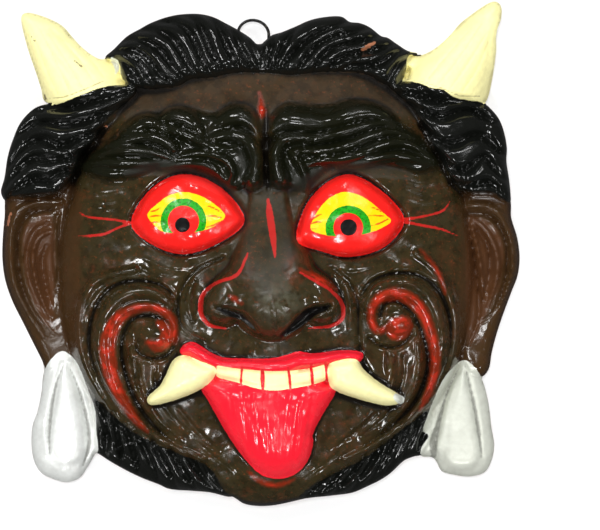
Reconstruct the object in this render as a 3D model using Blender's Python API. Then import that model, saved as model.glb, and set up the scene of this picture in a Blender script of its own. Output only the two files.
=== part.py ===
"""Wall mask of a horned guardian face in fired clay, with its wire hanging loop.

The mask lies on its flat back rim, face up: +X to its left ear's side as seen from the front
(the viewer's right), +Y to the crown, +Z out of the face. The origin is under the middle of
its outline. The relief is drawn in millimetres, as a potter builds it: a domed face, with
rolls of clay laid on it, pads raised from it and grooves cut into it.
"""

import math

import bmesh
import bpy
import numpy as np

MM = 0.001

# Driving sizes, in millimetres.
FACE_CENTRE = (3.0, -9.0)
FACE_HALF = (104.0, 117.0)
HAIR_CENTRE = (-1.0, 4.0)
HAIR_HALF = (131.0, 119.0)
BEARD_HALF = (FACE_HALF[0] + 6, FACE_HALF[1] + 1)
RIM = 5.0
# Domes of clay: height at the edge and at the top, and how fast the edge turns up.
FACE_DOME = (9.0, 40.0, 0.42)
HAIR_DOME = (10.0, 35.0, 0.6)
BEARD_DOME = (8.0, 34.0, 0.6)
# Grounds that stand above the face or the rim.
MOUTH_RISE = 6.0
NOSE_RISE = 1.0
DROP_RISE = 2.0
# The hollow behind: how far its oval lies inside the face's, and its height.
HOLLOW_INSET = (12.0, 13.0)
HOLLOW_TOP = 32.0
NOSE_HOLLOW = ((6.0, -12.0, 10.0), (18.0, 34.0, 31.0))
WIRE_RADIUS = 0.75
LOOP_RADIUS = 7.75
LOOP_CENTRE = (-3.5, 109.25)
LOOP_HEIGHT = 6.0
LOOP_END = 84.0
LOOP_BEND = 3.0
HOLE_RADIUS = 1.7
HOLE_LENGTH = 36.0

# Pads of clay: height above the ground, and width of the rounded edge.
BROW_PAD = (6, 4)
TONGUE_PAD = (12, 15)
TEETH_PAD = (5, 3)
TUSK_PAD = (9, 8)
EAR_PAD = (8, 6)
EARRING_PAD = (6, 5)
DROP_PAD = (8, 6)
HORN_PAD = (10, 8)
SIDE_HAIR_PAD = (8, 7)
CROWN_PAD = (9, 7)
BEARD_PAD = (7, 6)

# Grooves: half width, and height below the clay beside them.
EYE_RIM_CUT = (2.8, -2.8)
TONGUE_CUT = (1.5, -0.8)
TOOTH_CUT = (0.9, -2.5)
SIDE_HAIR_CUT = (4.6, -5.5)
CROWN_CUT = (3.6, -5)
BEARD_CUT = (3.2, -4.5)

# Fillets where a pad or roll meets what it lies on.
JOIN_FILLET = 0.8
LIP_FILLET = 1.5
BROW_FILLET = 1.6
NOSE_FILLET = 7
BALL_FILLET = 2

# How finely the clay is cut: the spacing of the drawing grid, and the share of its faces kept.
GRID_STEP = 1.0
KEPT_FACES = 0.069


# ---------------------------------------------------------------------------
# Drawing tools: smooth lines, tapers and cross-sections
# ---------------------------------------------------------------------------

def spline(rows, closed=False, spans=5):
    """Smooth line through rows of numbers: x, y and whatever follows them."""
    knots = np.array(rows, float)
    if closed:
        knots = np.vstack([knots[-1], knots, knots[0], knots[1]])
    else:
        knots = np.vstack([2 * knots[0] - knots[1], knots, 2 * knots[-1] - knots[-2]])
    t = np.linspace(0, 1, spans, endpoint=False)[:, None]
    pieces = []
    for a, b, c, d in zip(knots, knots[1:], knots[2:], knots[3:]):
        bend = 2 * a - 5 * b + 4 * c - d + t * (3 * (b - c) + d - a)
        pieces.append(b + 0.5 * t * (c - a + t * bend))
    pieces.append(knots[-2][None])
    return np.vstack(pieces)


def ease(t):
    """Smooth step from 0 to 1."""
    t = np.clip(t, 0, 1)
    return t * t * (3 - 2 * t)


def stroke(points, width, height, root=0.7, tip=0.35):
    """Line of x, y, half width and height that swells from its root and thins to its tip."""
    line = spline(points)
    t = np.linspace(0, 1, len(line))
    swell = (root + (1 - root) * ease(t / 0.35)) * (tip + (1 - tip) * ease((1 - t) / 0.4))
    return np.column_stack([line, width * swell, height * np.sqrt(swell)])


def half_round(u):
    """Section of a roll of clay, across it from -1 to 1."""
    return np.sqrt(np.clip(1 - u * u, 0, 1))


def bell(u):
    """Section of a soft ridge."""
    return np.clip(1 - u * u, 0, 1) ** 2


def valley(u):
    """Section of a groove with a sharp bottom."""
    return np.clip(1 - np.abs(u), 0, 1) ** 1.5


def dome(x, y, centre, half, shape):
    """Height of a dome over an oval."""
    rim, top, power = shape
    r2 = ((x - centre[0]) / half[0]) ** 2 + ((y - centre[1]) / half[1]) ** 2
    return rim + (top - rim) * np.clip(1 - r2, 0, 1) ** power


def face_height(x, y):
    return dome(x, y, FACE_CENTRE, FACE_HALF, FACE_DOME)


def hair_height(x, y):
    return dome(x, y, HAIR_CENTRE, HAIR_HALF, HAIR_DOME)


def beard_height(x, y):
    return dome(x, y, FACE_CENTRE, BEARD_HALF, BEARD_DOME)


def rim_height(x, y):
    return np.full_like(x, RIM)


def mouth_height(x, y):
    return face_height(x, y) + MOUTH_RISE


def nose_height(x, y):
    return face_height(x, y) + NOSE_RISE


# ---------------------------------------------------------------------------
# The carving, in millimetres: outlines of what is laid on, then the lines worked into it.
# A line is its points, its half width and its height, negative where it is cut in.
# ---------------------------------------------------------------------------

FACE = (
    (3, 105), (45, 100), (66, 90), (84, 76), (100, 52), (107, 32), (110, -9), (106, -46), (97, -62),
    (86, -80), (62, -106), (40, -118), (21, -123), (5, -126.3), (-7, -125.6), (-15, -121.2),
    (-30, -118), (-52, -108), (-76, -87), (-86, -76), (-95, -60), (-99, -50), (-106, -9),
    (-104, 34), (-95, 56), (-82, 76), (-66, 88), (-42, 99),
)
# Broad swellings of the face: centre, half sizes and height.
SWELLINGS = (
    ((5, -50), (52, 40), 6),
    ((-60, -40), (40, 46), 6),
    ((68, -36), (38, 46), 6),
    ((-45, 56), (62, 26), 4),
    ((50, 56), (62, 26), 4),
    ((5, -114), (34, 16), 4),
    ((5, 0), (34, 46), 5),
)

EARS = (
    ((-126, 31), (-128, 18), (-129, 6), (-129, -4), (-127.5, -14), (-124, -24), (-119, -34),
     (-113.5, -45), (-109, -54), (-107, -60), (-97, -58), (-89, -46), (-90, 0), (-90, 32),
     (-110, 34)),
    ((124.5, 28), (125.8, 18), (128.8, 8), (130, -2), (129, -11), (126, -19), (123, -27),
     (120.5, -34), (118, -42), (116, -50), (114.5, -58), (110, -62), (100, -60), (98, -40),
     (100, 0), (100, 28), (112, 34)),
)
EAR_LINES = (
    (((-99, 26), (-113, 25), (-123, 18), (-125.4, 2), (-123.6, -14), (-117, -28), (-108, -42)),
      3.4, 3),
    (((-104, 22), (-115, 20), (-120.6, 10), (-121, -4), (-118.6, -18), (-113, -30), (-104, -41)),
      2.4, -3.6),
    (((-105, 11), (-110.6, 8), (-113.6, 0), (-112.6, -12), (-108.6, -24), (-104.6, -32)), 2, 3.4),
    (((-106, 15), (-113, 11), (-116.8, 0), (-115.6, -13), (-110.6, -26)), 2.4, -2.6),
    (((-106.6, 4), (-109, -4), (-107.6, -14), (-104.6, -26)), 2.6, -3.4),
    (((-101.4, 19), (-102.6, 8), (-102.4, -6), (-101.6, -18)), 2, 3),
    (((104, 24), (114, 23.4), (122, 16), (126.6, 2), (125.6, -12), (120, -26)), 3.2, 3),
    (((104, 20), (112, 19.5), (118, 16), (122.5, 8), (124, -2), (122.6, -14), (117, -29),
      (110, -34.4)), 2.2, -3.6),
    (((106.6, 17), (113, 11.4), (117.4, 3), (119, -6), (117.4, -16), (113.4, -28)), 2.4, 3),
    (((108.6, 12), (113.6, 4), (115, -6), (113, -20)), 2.4, -3.4),
    (((105.6, 15), (108.6, 3), (110.6, -8), (111.6, -24)), 1.8, 3),
    (((103, 18), (105.6, 5), (108, -10), (109.6, -24), (108.6, -35), (104, -46)), 1.8, -3),
)

HORNS = (
    ((-107.8, 76.2), (-109.5, 82), (-112, 90), (-115.5, 100), (-117.8, 108), (-119.4, 115),
     (-119.2, 119.4), (-116, 120.6), (-110, 119.2), (-104, 116.8), (-98.6, 113.6), (-94.4, 108.8),
     (-90, 104), (-85, 99.8), (-80.5, 97.4), (-77, 97.4), (-74.6, 98.4), (-70.4, 97.6), (-68, 93),
     (-67, 87), (-69, 81.6), (-79, 80.4), (-91, 76.4), (-100, 74.6)),
    ((112.2, 75.4), (114.4, 79), (116, 86), (117.3, 94), (118.2, 102), (118.1, 107), (118.7, 112),
     (120.5, 117), (121, 122), (119.8, 125.2), (117, 126.2), (113, 124.6), (106, 119.8), (100, 115),
     (95.6, 109.8), (90, 104.4), (85, 101), (80, 99.2), (75, 99.4), (70.6, 97), (70.4, 90.4),
     (71, 85), (80, 83), (92, 79), (99, 76), (106, 75)),
)
# The cones of the horns, as rolls of x, y, half width and height.
HORN_CONES = (
    ((-85, 77.5, 21.6, 23), (-95, 89.6, 16.6, 19), (-109, 107, 8.6, 12.5), (-117.6, 117.6, 3, 6.5)),
    ((91, 80, 21.4, 23), (103, 98, 15.8, 18.5), (113, 113, 7.8, 12), (118.8, 122, 3, 6.5)),
)
HORN_LINES = (
    (((-108, 77.6), (-98, 78.4), (-88, 82), (-78, 86.4)), 1, -0.7),
    (((-112, 108), (-101, 96), (-93, 86)), 2.4, -0.7),
    (((-104, 112), (-93, 100), (-82, 90)), 2.2, -0.7),
    (((80, 86.4), (91, 82.6), (100, 79), (110, 78.8), (113, 86), (116, 102)), 1, -0.8),
    (((107, 81), (112.6, 88), (114.4, 100), (114.8, 108), (118, 117)), 1.2, -0.9),
    (((76, 92), (90, 101), (104, 114)), 2.2, -0.7),
)

EARRINGS = (
    ((-100, -49), (-105, -53.5), (-108.5, -60), (-109.5, -69), (-111.5, -79), (-114, -86),
     (-114.6, -95), (-113.5, -103), (-110, -109.5), (-104, -112.8), (-97, -114.6), (-90.5, -112.5),
     (-86.5, -107), (-83, -101), (-81, -98), (-82, -88), (-82.5, -78), (-85.5, -70), (-89, -60),
     (-92, -54), (-96, -50)),
    ((102, -53.5), (107.4, -57), (111.6, -64), (114.4, -75), (115.9, -87), (117.3, -96),
     (116, -103.5), (112.5, -109.5), (105, -111.7), (97, -110.8), (91, -109), (88.5, -104.5),
     (86, -102), (81, -101.5), (80.8, -97), (84.5, -91.5), (81.8, -88.5), (83.5, -82), (87, -73),
     (91, -64), (96, -57.5)),
)
EARRING_DROPS = (
    ((-98.5, -54), (-102, -62), (-104.5, -72), (-106, -82), (-107.5, -92), (-108.5, -99),
     (-104, -106), (-97, -108.5), (-90, -105.5), (-86.5, -99), (-86.5, -89), (-88, -80),
     (-90.5, -70), (-94, -61)),
    ((102, -55), (98, -62), (94, -72), (91.8, -82), (90.8, -93), (90.8, -103), (95, -108.5),
     (104, -109.5), (110, -106.5), (112.6, -99), (110, -87), (107, -74), (104.5, -62)),
)

# The hair, in three masses; the partings between its locks run from the outline to the hairline.
CROWN = (
    (-77.5, 98), (-73, 102.5), (-67, 108.5), (-60, 112.6), (-54, 115.8), (-47, 118.3),
    (-39.5, 119.8), (-31, 120), (-24, 118.6), (-17, 115.2), (-10, 111.3), (-5, 108), (-0.6, 104),
    (2, 106), (6, 109.3), (11, 110.8), (17, 113.3), (25, 116.8), (33, 118.5), (40.5, 118.7),
    (45, 116), (50, 115.4), (55, 113.3), (60.5, 109), (64, 108), (69, 104.6), (74, 101.5),
    (80.8, 99.8), (74.5, 98.6), (73.5, 92), (70, 84), (62, 84.4), (54, 89), (44, 90.6), (30, 90.4),
    (16, 89), (2, 90), (-12, 90.2), (-24, 87.6), (-34, 87), (-41, 83.5), (-52, 82), (-62, 83),
    (-69, 87), (-71, 95),
)
CROWN_PARTINGS = (
    ((-76, 99.6), (-68, 101.6), (-60.5, 100.6), (-54.5, 95), (-49.5, 89), (-43, 85)),
    ((-71, 105), (-64, 107), (-56, 105.4), (-49, 100.6), (-43.5, 93), (-37, 86.6)),
    ((-62, 111.6), (-53, 111.6), (-45.5, 108.6), (-40, 102), (-35.6, 94), (-30, 88)),
    ((-53, 116), (-44, 115.6), (-37, 112.6), (-32.6, 106), (-29, 97), (-23.4, 88.6)),
    ((-39, 119.6), (-32, 116), (-27.4, 108.6), (-24, 100), (-17, 90)),
    ((-28, 119.6), (-22, 114.6), (-18, 107), (-14, 98.6), (-9, 91)),
    ((-17, 115.4), (-12.6, 109), (-9, 102), (-5, 95), (-3, 90.4)),
    ((-8, 110.2), (-4.6, 104), (-1.6, 97), (0.4, 90.6)),
    ((-72.6, 97.6), (-67, 95), (-62.6, 90), (-59, 84)),
    ((-66, 99), (-60.6, 96), (-56, 90), (-52, 83)),
    ((0.6, 104), (1.4, 97), (2.4, 90.6)),
    ((8, 110.2), (6, 104), (5, 97), (5.4, 90.4)),
    ((20, 114.6), (14.6, 108), (10.4, 101), (8.4, 95), (7.4, 89.8)),
    ((44.6, 116.4), (35, 112.6), (26, 108), (18, 101.6), (12, 95), (9.6, 90)),
    ((55, 113), (46, 110.4), (37, 108.6), (29, 104.4), (22.6, 97), (18.4, 90)),
    ((61, 109), (53, 107), (45, 105.4), (37, 103), (30, 97), (27, 90.6)),
    ((67.6, 105), (60, 102.6), (52, 100.6), (44, 98.8), (37, 95), (34, 90.8)),
    ((73.6, 101.6), (67, 99.6), (61, 95.6), (54, 93.6), (45, 93.6), (39, 91)),
    ((75, 99), (69.6, 95), (65.6, 89), (63.6, 85)),
    ((74, 92), (70.6, 88), (68.6, 84.4)),
)
SIDE_HAIR = (
    ((-63, 84), (-72, 84.5), (-80, 83), (-90, 79.3), (-100, 75.4), (-108, 74.6), (-114, 72),
     (-120, 65.5), (-124, 56.5), (-126.5, 48), (-128, 38), (-129.8, 31), (-127.5, 26.5),
     (-124, 28.5), (-116, 28), (-108, 28.6), (-101, 29.8), (-96, 35), (-91.5, 43), (-89, 50),
     (-83, 56), (-79.5, 62), (-75, 68.5), (-68, 74), (-62, 80)),
    ((64, 84), (72, 86.5), (80, 85.3), (86, 83), (91.5, 82.3), (97, 78.5), (104, 77), (111, 76),
     (116, 72), (120, 66.8), (122.4, 60), (123.6, 53), (123.4, 46), (124.6, 38), (125.4, 30),
     (125.2, 26), (121.5, 26.8), (116, 30), (108, 30), (101, 31.5), (96.5, 35.5), (92.5, 43),
     (88.5, 50), (84.5, 58), (80.5, 66), (76, 73), (69, 79)),
)
SIDE_PARTINGS = (
    ((-64, 81), (-76, 77.6), (-88, 75), (-98, 72.6), (-108, 72), (-115, 70)),
    ((-68, 75), (-78, 69.6), (-88, 66.2), (-98, 64.6), (-108, 65.8), (-116, 63.6), (-122.4, 58)),
    ((-80, 61), (-90, 57), (-100, 53.8), (-108, 57), (-115, 56), (-121, 50), (-126, 43)),
    ((-89, 50), (-97, 47.4), (-106, 47.2), (-113, 47.8), (-119, 44), (-124, 38), (-127.4, 32)),
    ((-93, 41.6), (-100, 40.4), (-106, 36.8), (-113, 37.4), (-119, 34), (-125.6, 29)),
    ((70, 80), (79, 79.4), (88, 76.6), (96, 76), (104, 76), (111, 74)),
    ((75, 75), (81, 71), (88, 68.8), (94, 69), (99, 71), (105, 71.6), (111, 69.4), (116, 66),
     (121, 65.4)),
    ((81, 64), (88, 57), (94, 54.8), (100, 56), (105, 58.6), (111, 59), (116, 55), (120, 51),
     (123.8, 49)),
    ((88, 51), (94, 44), (99, 41.8), (105, 42.6), (109, 47), (113, 48), (117, 43), (121, 38),
     (124.8, 36)),
    ((96.4, 36), (103, 33.4), (109, 34.6), (114, 35.4), (119, 32.5), (125, 27)),
)

# The beard, whose locks slant from the jaw down to the rim.
BEARD = (
    ((-83.5, -72), (-83, -84), (-83.5, -97), (-79, -101.5), (-70, -107), (-60, -112), (-51, -115.5),
     (-45, -118), (-35, -118.8), (-25, -119.6), (-15, -121.8), (-19, -117), (-22, -111),
     (-28, -105), (-38, -101), (-49, -96.5), (-60, -91), (-68, -85.5), (-76, -78.5)),
    ((19, -122.4), (28, -122), (38, -121), (46.5, -119.7), (54, -116.5), (61, -113), (66, -109.4),
     (72, -103.8), (77, -101.7), (81, -100.5), (86, -94), (86, -80), (82, -79), (77, -83.5),
     (70, -88.5), (61, -96), (50, -103.5), (38, -109.5), (27, -115.5)),
)
BEARD_PARTINGS = (
    ((-79, -76), (-77, -88), (-77, -102)),
    ((-74, -80), (-71, -92), (-69.6, -106)),
    ((-68.6, -85), (-64, -97), (-60.6, -111)),
    ((-62, -90), (-56, -101), (-51, -114)),
    ((-54, -94), (-48, -105), (-41.6, -117)),
    ((-45, -98), (-39, -108), (-31.6, -118)),
    ((-36, -101.4), (-30, -110), (-22, -118.6)),
    ((-28, -105), (-24, -112), (-17.6, -119)),
    ((85, -82), (82, -91), (79, -99)),
    ((80, -82), (77, -91), (71.6, -101.6)),
    ((74, -86), (70.6, -96), (63.6, -108.6)),
    ((68, -90.6), (63, -102), (55, -113.6)),
    ((61, -96), (55, -106), (46, -118)),
    ((53, -101.6), (46, -110.6), (36.6, -120)),
    ((44.6, -106.4), (37, -114), (28, -121)),
    ((36, -110.6), (29, -117), (22, -121.4)),
)

BROWS = (
    ((-3, 60), (-4, 68), (-8, 74), (-14, 75), (-18.6, 72), (-23, 70), (-28, 70.6), (-34, 72.6),
     (-42, 72.6), (-48, 70.4), (-54, 69.6), (-60, 68), (-65, 64), (-70, 60), (-76, 56), (-84, 51),
     (-90, 46), (-91, 42), (-85, 39), (-74, 36.6), (-62, 38), (-52, 41), (-40, 42.6), (-28, 40),
     (-20, 36.4), (-15, 32), (-11, 31.6), (-7, 33.4), (-2, 32), (1, 36), (0, 48)),
    ((6, 62), (6, 68), (9, 72.6), (14, 75), (22, 74.6), (30, 74), (36, 74.6), (44, 77), (54, 76),
     (62, 73), (67, 69.6), (72, 64), (80, 59), (86, 52), (90, 45), (86, 41.6), (78, 40), (68, 42.6),
     (58, 43.6), (48, 43.8), (38, 43.4), (32, 40), (26, 35), (21, 31.6), (16, 32.4), (9, 31),
     (5, 35), (5, 48)),
)
# Rolls of clay on the brows: x, y, half width and height above the face.
BROW_ROLLS = (
    # Left: the fold over the nose with its knob, the lump above it, and the folds that leave it.
    ((-29, 56, 1.6, 6.4), (-19, 58.6, 3.8, 10), (-11, 58.8, 4.8, 12.5), (-5, 54.6, 4.8, 13.5),
     (-2.2, 47.6, 4.4, 13.5), (-2.2, 41.6, 4.4, 14), (-3, 37, 5.2, 16), (-3.2, 36, 5, 16)),
    ((-24, 63.4, 1.6, 6), (-17, 67, 5, 9.6), (-9, 68.6, 6, 11), (-3, 63.4, 3, 8.6),
     (-0.6, 57, 1.4, 6)),
    ((-51, 64.6, 1.6, 7), (-43, 61.6, 3.2, 11), (-33, 57.4, 3.8, 11.5), (-23, 53, 3.2, 10.4),
     (-13, 51.4, 1.6, 7)),
    ((-43, 47.6, 1.4, 6.6), (-34, 49.6, 2.8, 9.6), (-24, 49.2, 3.4, 10.6), (-16, 45.4, 3, 10.6),
     (-13.4, 39.6, 2.2, 10), (-15, 33.4, 1.2, 6)),
    ((-50, 43, 1.4, 6), (-38, 44.8, 2.6, 9), (-28, 44.4, 2.8, 9.4), (-21, 40.6, 2.2, 8.6),
     (-18, 36.6, 1.2, 6)),
      
    # Left: the lumps and curls of its outer part.
    ((-50, 66, 1.6, 7), (-44, 68.4, 4.6, 10.6), (-37, 67.4, 5.2, 11.5), (-31.4, 63, 4, 10.4),
     (-28, 58, 1.6, 7)),
    ((-71, 58, 1.6, 6.4), (-63, 62.6, 4.2, 10.4), (-56, 65.4, 4.8, 11.5), (-50, 63.4, 3.6, 10.6),
     (-45, 60, 1.6, 8)),
    ((-80, 52.6, 1.4, 6.4), (-69, 56, 3.4, 10), (-59, 58.4, 4, 11.5), (-51, 57.4, 4.2, 12.4),
     (-44.6, 54, 4, 13), (-42.8, 52, 3.4, 12.5)),
    ((-85, 48.4, 1.4, 6), (-73, 51, 3.4, 10), (-61, 51.4, 3.8, 10.8), (-50, 49.6, 2.6, 9.6),
     (-42, 46.6, 1.2, 7)),
    ((-91, 44, 1.4, 6), (-80, 45.4, 3.2, 9.4), (-67, 45, 3.4, 10), (-55, 45, 2.4, 9),
     (-46, 45.6, 1.2, 6)),
      
    # Right, in the same order.
    ((31, 57.4, 1.6, 8), (19, 57.6, 3.4, 11), (11.6, 56.2, 4, 12.5), (8.2, 50, 4.4, 13.5),
     (8.4, 43.6, 4.4, 14), (10, 37.6, 5.2, 16), (10.4, 36.8, 5, 16)),
    ((5.4, 60, 1.6, 7), (12, 66.4, 6, 10.8), (23, 66, 6, 11.6), (33, 65.4, 5.2, 11),
     (43, 68.6, 6, 12), (53, 70.8, 5.4, 11.6), (62, 68.8, 3.6, 10), (67, 64.6, 1.6, 6)),
    ((18, 57, 1.4, 7), (27, 57, 3, 10.8), (39, 59.6, 3.4, 11.5), (50, 62.8, 3.4, 11),
     (60, 65, 2.4, 9.6), (68, 63.6, 1.2, 6)),
    ((15, 51, 1.4, 7), (24, 51, 2.8, 10.6), (35, 51.4, 3.4, 11.5), (46, 54.4, 3.6, 11.5),
     (56, 58.6, 3.4, 11), (66, 60.6, 2.6, 10), (77, 57.4, 1.2, 6)),
    ((13.4, 52.4, 1.2, 7), (18, 47.4, 2.4, 11), (21.6, 41.6, 2.6, 11.5), (23, 36, 2, 9.6),
     (22.6, 31.6, 1.2, 6)),
    ((21.6, 43.4, 1.4, 7), (30, 46.4, 2.8, 10.6), (41, 47, 3.4, 11), (51, 49.6, 3.6, 11.5),
     (61, 54, 3.6, 11.5), (71, 55.4, 3.2, 10.6), (80, 52, 2.4, 9.6), (88, 45.6, 1.2, 6)),
    ((38, 43.6, 1.2, 6), (52, 45.6, 2.8, 9), (65, 48.6, 3.2, 10.4), (76, 47.4, 2.8, 10),
     (88, 43.4, 1.2, 6)),
)
# The furrow between the brows.
BROW_LINES = (
    (((3, 72), (3.4, 56), (3, 44), (4.6, 31)), 2.2, -4),
)

# Eyes: corner, corner, then the upper and lower lid edges between them.
EYES = (
    ((-64.3, 15.3), (-7.6, 16.8), ((-54.5, 32), (-38, 39.6), (-19.5, 33)), ((-54, 4.6),
     (-37.5, -0.4), (-19, 6))),
    ((18.2, 7.2), (72, 16.6), ((25.5, 28), (43, 39.5), (61, 31)), ((30, 1.4), (44.5, -1.8),
     (62, 3.2))),
)
EYE_BULGE = 11.0

# The nose, as rolls of x, y, half width and height: its ridge, flanks and wings.
NOSE = (
    ((4, 38, 8.5, 2), (4.4, 22, 10, 6), (5, 8, 13, 10), (5.6, -4, 18, 13.4), (6, -13, 22, 16),
     (6.4, -21, 21.6, 18), (7, -27, 16.4, 19.6)),
    ((-4, 2, 6, 5), (-9, -11, 8, 9), (-15, -20, 10, 12), (-18.6, -26, 10.6, 12.6)),
    ((14, 2, 6, 5), (20, -11, 8, 9), (27, -19.6, 10, 12), (30.6, -25.8, 10.8, 12.6)),
)
NOSTRILS = (
    (((-22.6, -26.6), (-15, -28.6), (-7, -32.4), (-1, -38.6)), 2.4, -4.4),
    (((34.6, -26.2), (26.6, -28.6), (20, -33.6), (12, -40.4)), 3.4, -8),
)

# The volutes of the cheeks and the lines that run on from them to the chin.
CHEEK_LINES = (
    # Left: the mound round the volute, the jaw ridge, the painted band and the furrow inside it.
    (((-44, -26), (-50, -20.6), (-60, -18.6), (-71, -22.6), (-79, -34), (-80.6, -50), (-74, -68),
      (-61, -84), (-44, -96), (-28, -103)), 5.6, 4.6),
    (((-62, -8), (-74, -10.4), (-84, -15.6), (-90, -28), (-90.6, -44), (-85.6, -61), (-74, -79),
      (-58, -93), (-40, -104)), 4, 3.4),
    (((-43, -21), (-50, -15.4), (-62, -13.6), (-74, -17), (-82.6, -28), (-85, -46), (-78, -66),
      (-64, -84)), 2, -3.6),
    (((-43.6, -44), (-42.6, -36), (-46, -30), (-53, -26.4), (-62, -26.8), (-70, -31), (-75, -41),
      (-74.4, -54), (-69.6, -69), (-60, -84), (-47, -96)), 3.4, 3),
    (((-47, -34), (-54, -31.2), (-63, -32.6), (-68.4, -42), (-68, -56), (-61.6, -74), (-50, -89),
      (-36, -100)), 2.2, -4.6),
    (((-62, -41), (-61, -48.6), (-54, -52.4), (-46, -50.6), (-41, -43)), 2, -4),
    (((-65.4, -46), (-64.6, -60), (-58, -75), (-46, -89)), 1.8, 3),
    (((-60, -54), (-58.6, -68), (-51, -82), (-38, -94)), 1.5, 2.4),
    (((-62.4, -52), (-61.4, -66), (-54, -79.6), (-42, -92)), 1.4, -2),
    (((-52, -54), (-52, -66), (-45, -80), (-32, -92)), 1.4, -2),
    (((-41, -77), (-31, -89), (-20, -99)), 1.5, -2),
      
    # Right, in the same order.
    (((53, -26), (57, -18.6), (66, -14.4), (77, -15.4), (86, -23), (91, -37), (91, -52), (86, -68),
      (75, -83), (58, -95), (42, -103)), 5.4, 4.6),
    (((78, 0), (88, -8), (95.6, -22), (98.4, -38), (96.6, -53), (91, -66), (83, -77)), 4, 3.4),
    (((50, -21), (56, -13.6), (67, -10), (79, -11), (89, -18.6), (95, -33), (94.6, -51),
      (88.6, -67)), 2, -3.6),
    (((63.6, -35), (59.4, -38.6), (55.6, -33), (56.6, -26), (63, -20.4), (73, -20.4), (81, -27),
      (86, -40), (87, -55), (82, -71), (71, -86)), 3.2, 3),
    (((60, -31), (62.6, -25), (69.4, -24.4), (77, -32), (82.6, -45), (83.6, -58), (78, -73),
      (66, -86), (52, -96)), 2.1, -4.6),
    (((54, -41.6), (60, -46), (69, -46.2), (75, -41.4), (77, -35)), 2, -4),
    (((79, -44), (79, -60), (73, -75), (60, -88)), 1.8, 3),
    (((72, -50), (71, -64), (64, -80), (50, -92)), 1.5, -2),
    (((66.6, -51), (66.8, -62), (64, -70)), 1.6, 2.2),
    (((63.4, -49), (63.4, -60)), 1.4, -2),
    (((58, -80), (48, -89), (36, -98)), 1.5, -2),
      
    # The creases from the nose to the corners of the mouth.
    (((-18, -2), (-30, -7.6), (-38, -16), (-41, -27), (-37.6, -38), (-27, -44)), 2, -3),
    (((36, -7.6), (44, -14), (48.6, -24), (49, -38), (51, -51), (55, -59)), 2, -3),
    (((-33, -14), (-35.6, -24), (-33, -34)), 2.4, 2),
    (((42, -15), (45, -26), (44.6, -38)), 2.4, 2),
)
CHEEK_BALLS = (
    ((-55, -41, 9, 8), (-52, -41, 9, 8)),
    ((68.6, -35, 7, 8), (70.6, -34.4, 7, 8)),
)

# The mouth.
LIP = (
    (-38.8, -48.8, 1.8, 5), (-34, -48, 3.2, 6.6), (-26.5, -52.6, 3.4, 7), (-18, -55.6, 3, 7),
    (-8, -55.6, 3, 7), (2, -56.6, 3.6, 7.4), (12, -56.2, 3.8, 7.4), (20, -53.8, 3.8, 7.2),
    (28, -53.6, 3.2, 7), (37, -51.8, 2.7, 6.5), (44, -51.2, 2.5, 6), (49.6, -51.6, 1.9, 5),
)
TEETH = (
    (-22, -56), (-10, -57.4), (8, -58.6), (24, -57.4), (33.4, -55.4), (34, -62), (27, -65),
    (16, -67.2), (7, -68.2), (-2, -67), (-12, -64), (-21.6, -61.2),
)
TOOTH_GAPS = (
    ((-8.6, -56), (-9.4, -65.6)),
    ((1.2, -57), (1.6, -68.4)),
    ((13.6, -57), (15.4, -68.4)),
    ((25, -56), (26.4, -66.4)),
    ((31.6, -55), (33, -64)),
)
TUSKS = (
    ((-38, -50.6), (-30, -53.4), (-22, -57), (-23, -62), (-29, -67.4), (-38, -71.6), (-46, -74.2),
     (-53, -75.6), (-56, -74.4), (-55.4, -71), (-50, -66), (-46.6, -60), (-43.4, -53.4)),
    ((34, -56), (38, -53.6), (44, -52.4), (48.6, -53.2), (52, -58), (57, -62.4), (63, -66.4),
     (69, -70), (70.6, -72.6), (69, -75), (63, -75.8), (55, -74.2), (46, -71.6), (39, -69),
     (34.6, -65.4)),
)
TONGUE = (
    (-22, -60), (-29, -67), (-26, -73), (-21, -82), (-16.4, -90), (-11, -98), (-5, -105.4),
    (1, -110.6), (8, -112.4), (15, -111.4), (21, -107.4), (25, -101), (26.6, -94), (26.6, -89.6),
    (32, -79), (37.4, -70), (37, -65.6), (31, -63), (20, -60),
)
TONGUE_LINES = tuple(
    ((6 + side, -70), (6 + 0.86 * side, -88), (7 + 0.66 * side, -105)) for side in range(-21, 22, 6)
)


# ---------------------------------------------------------------------------
# The relief: heights over points of the drawing
# ---------------------------------------------------------------------------

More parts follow.
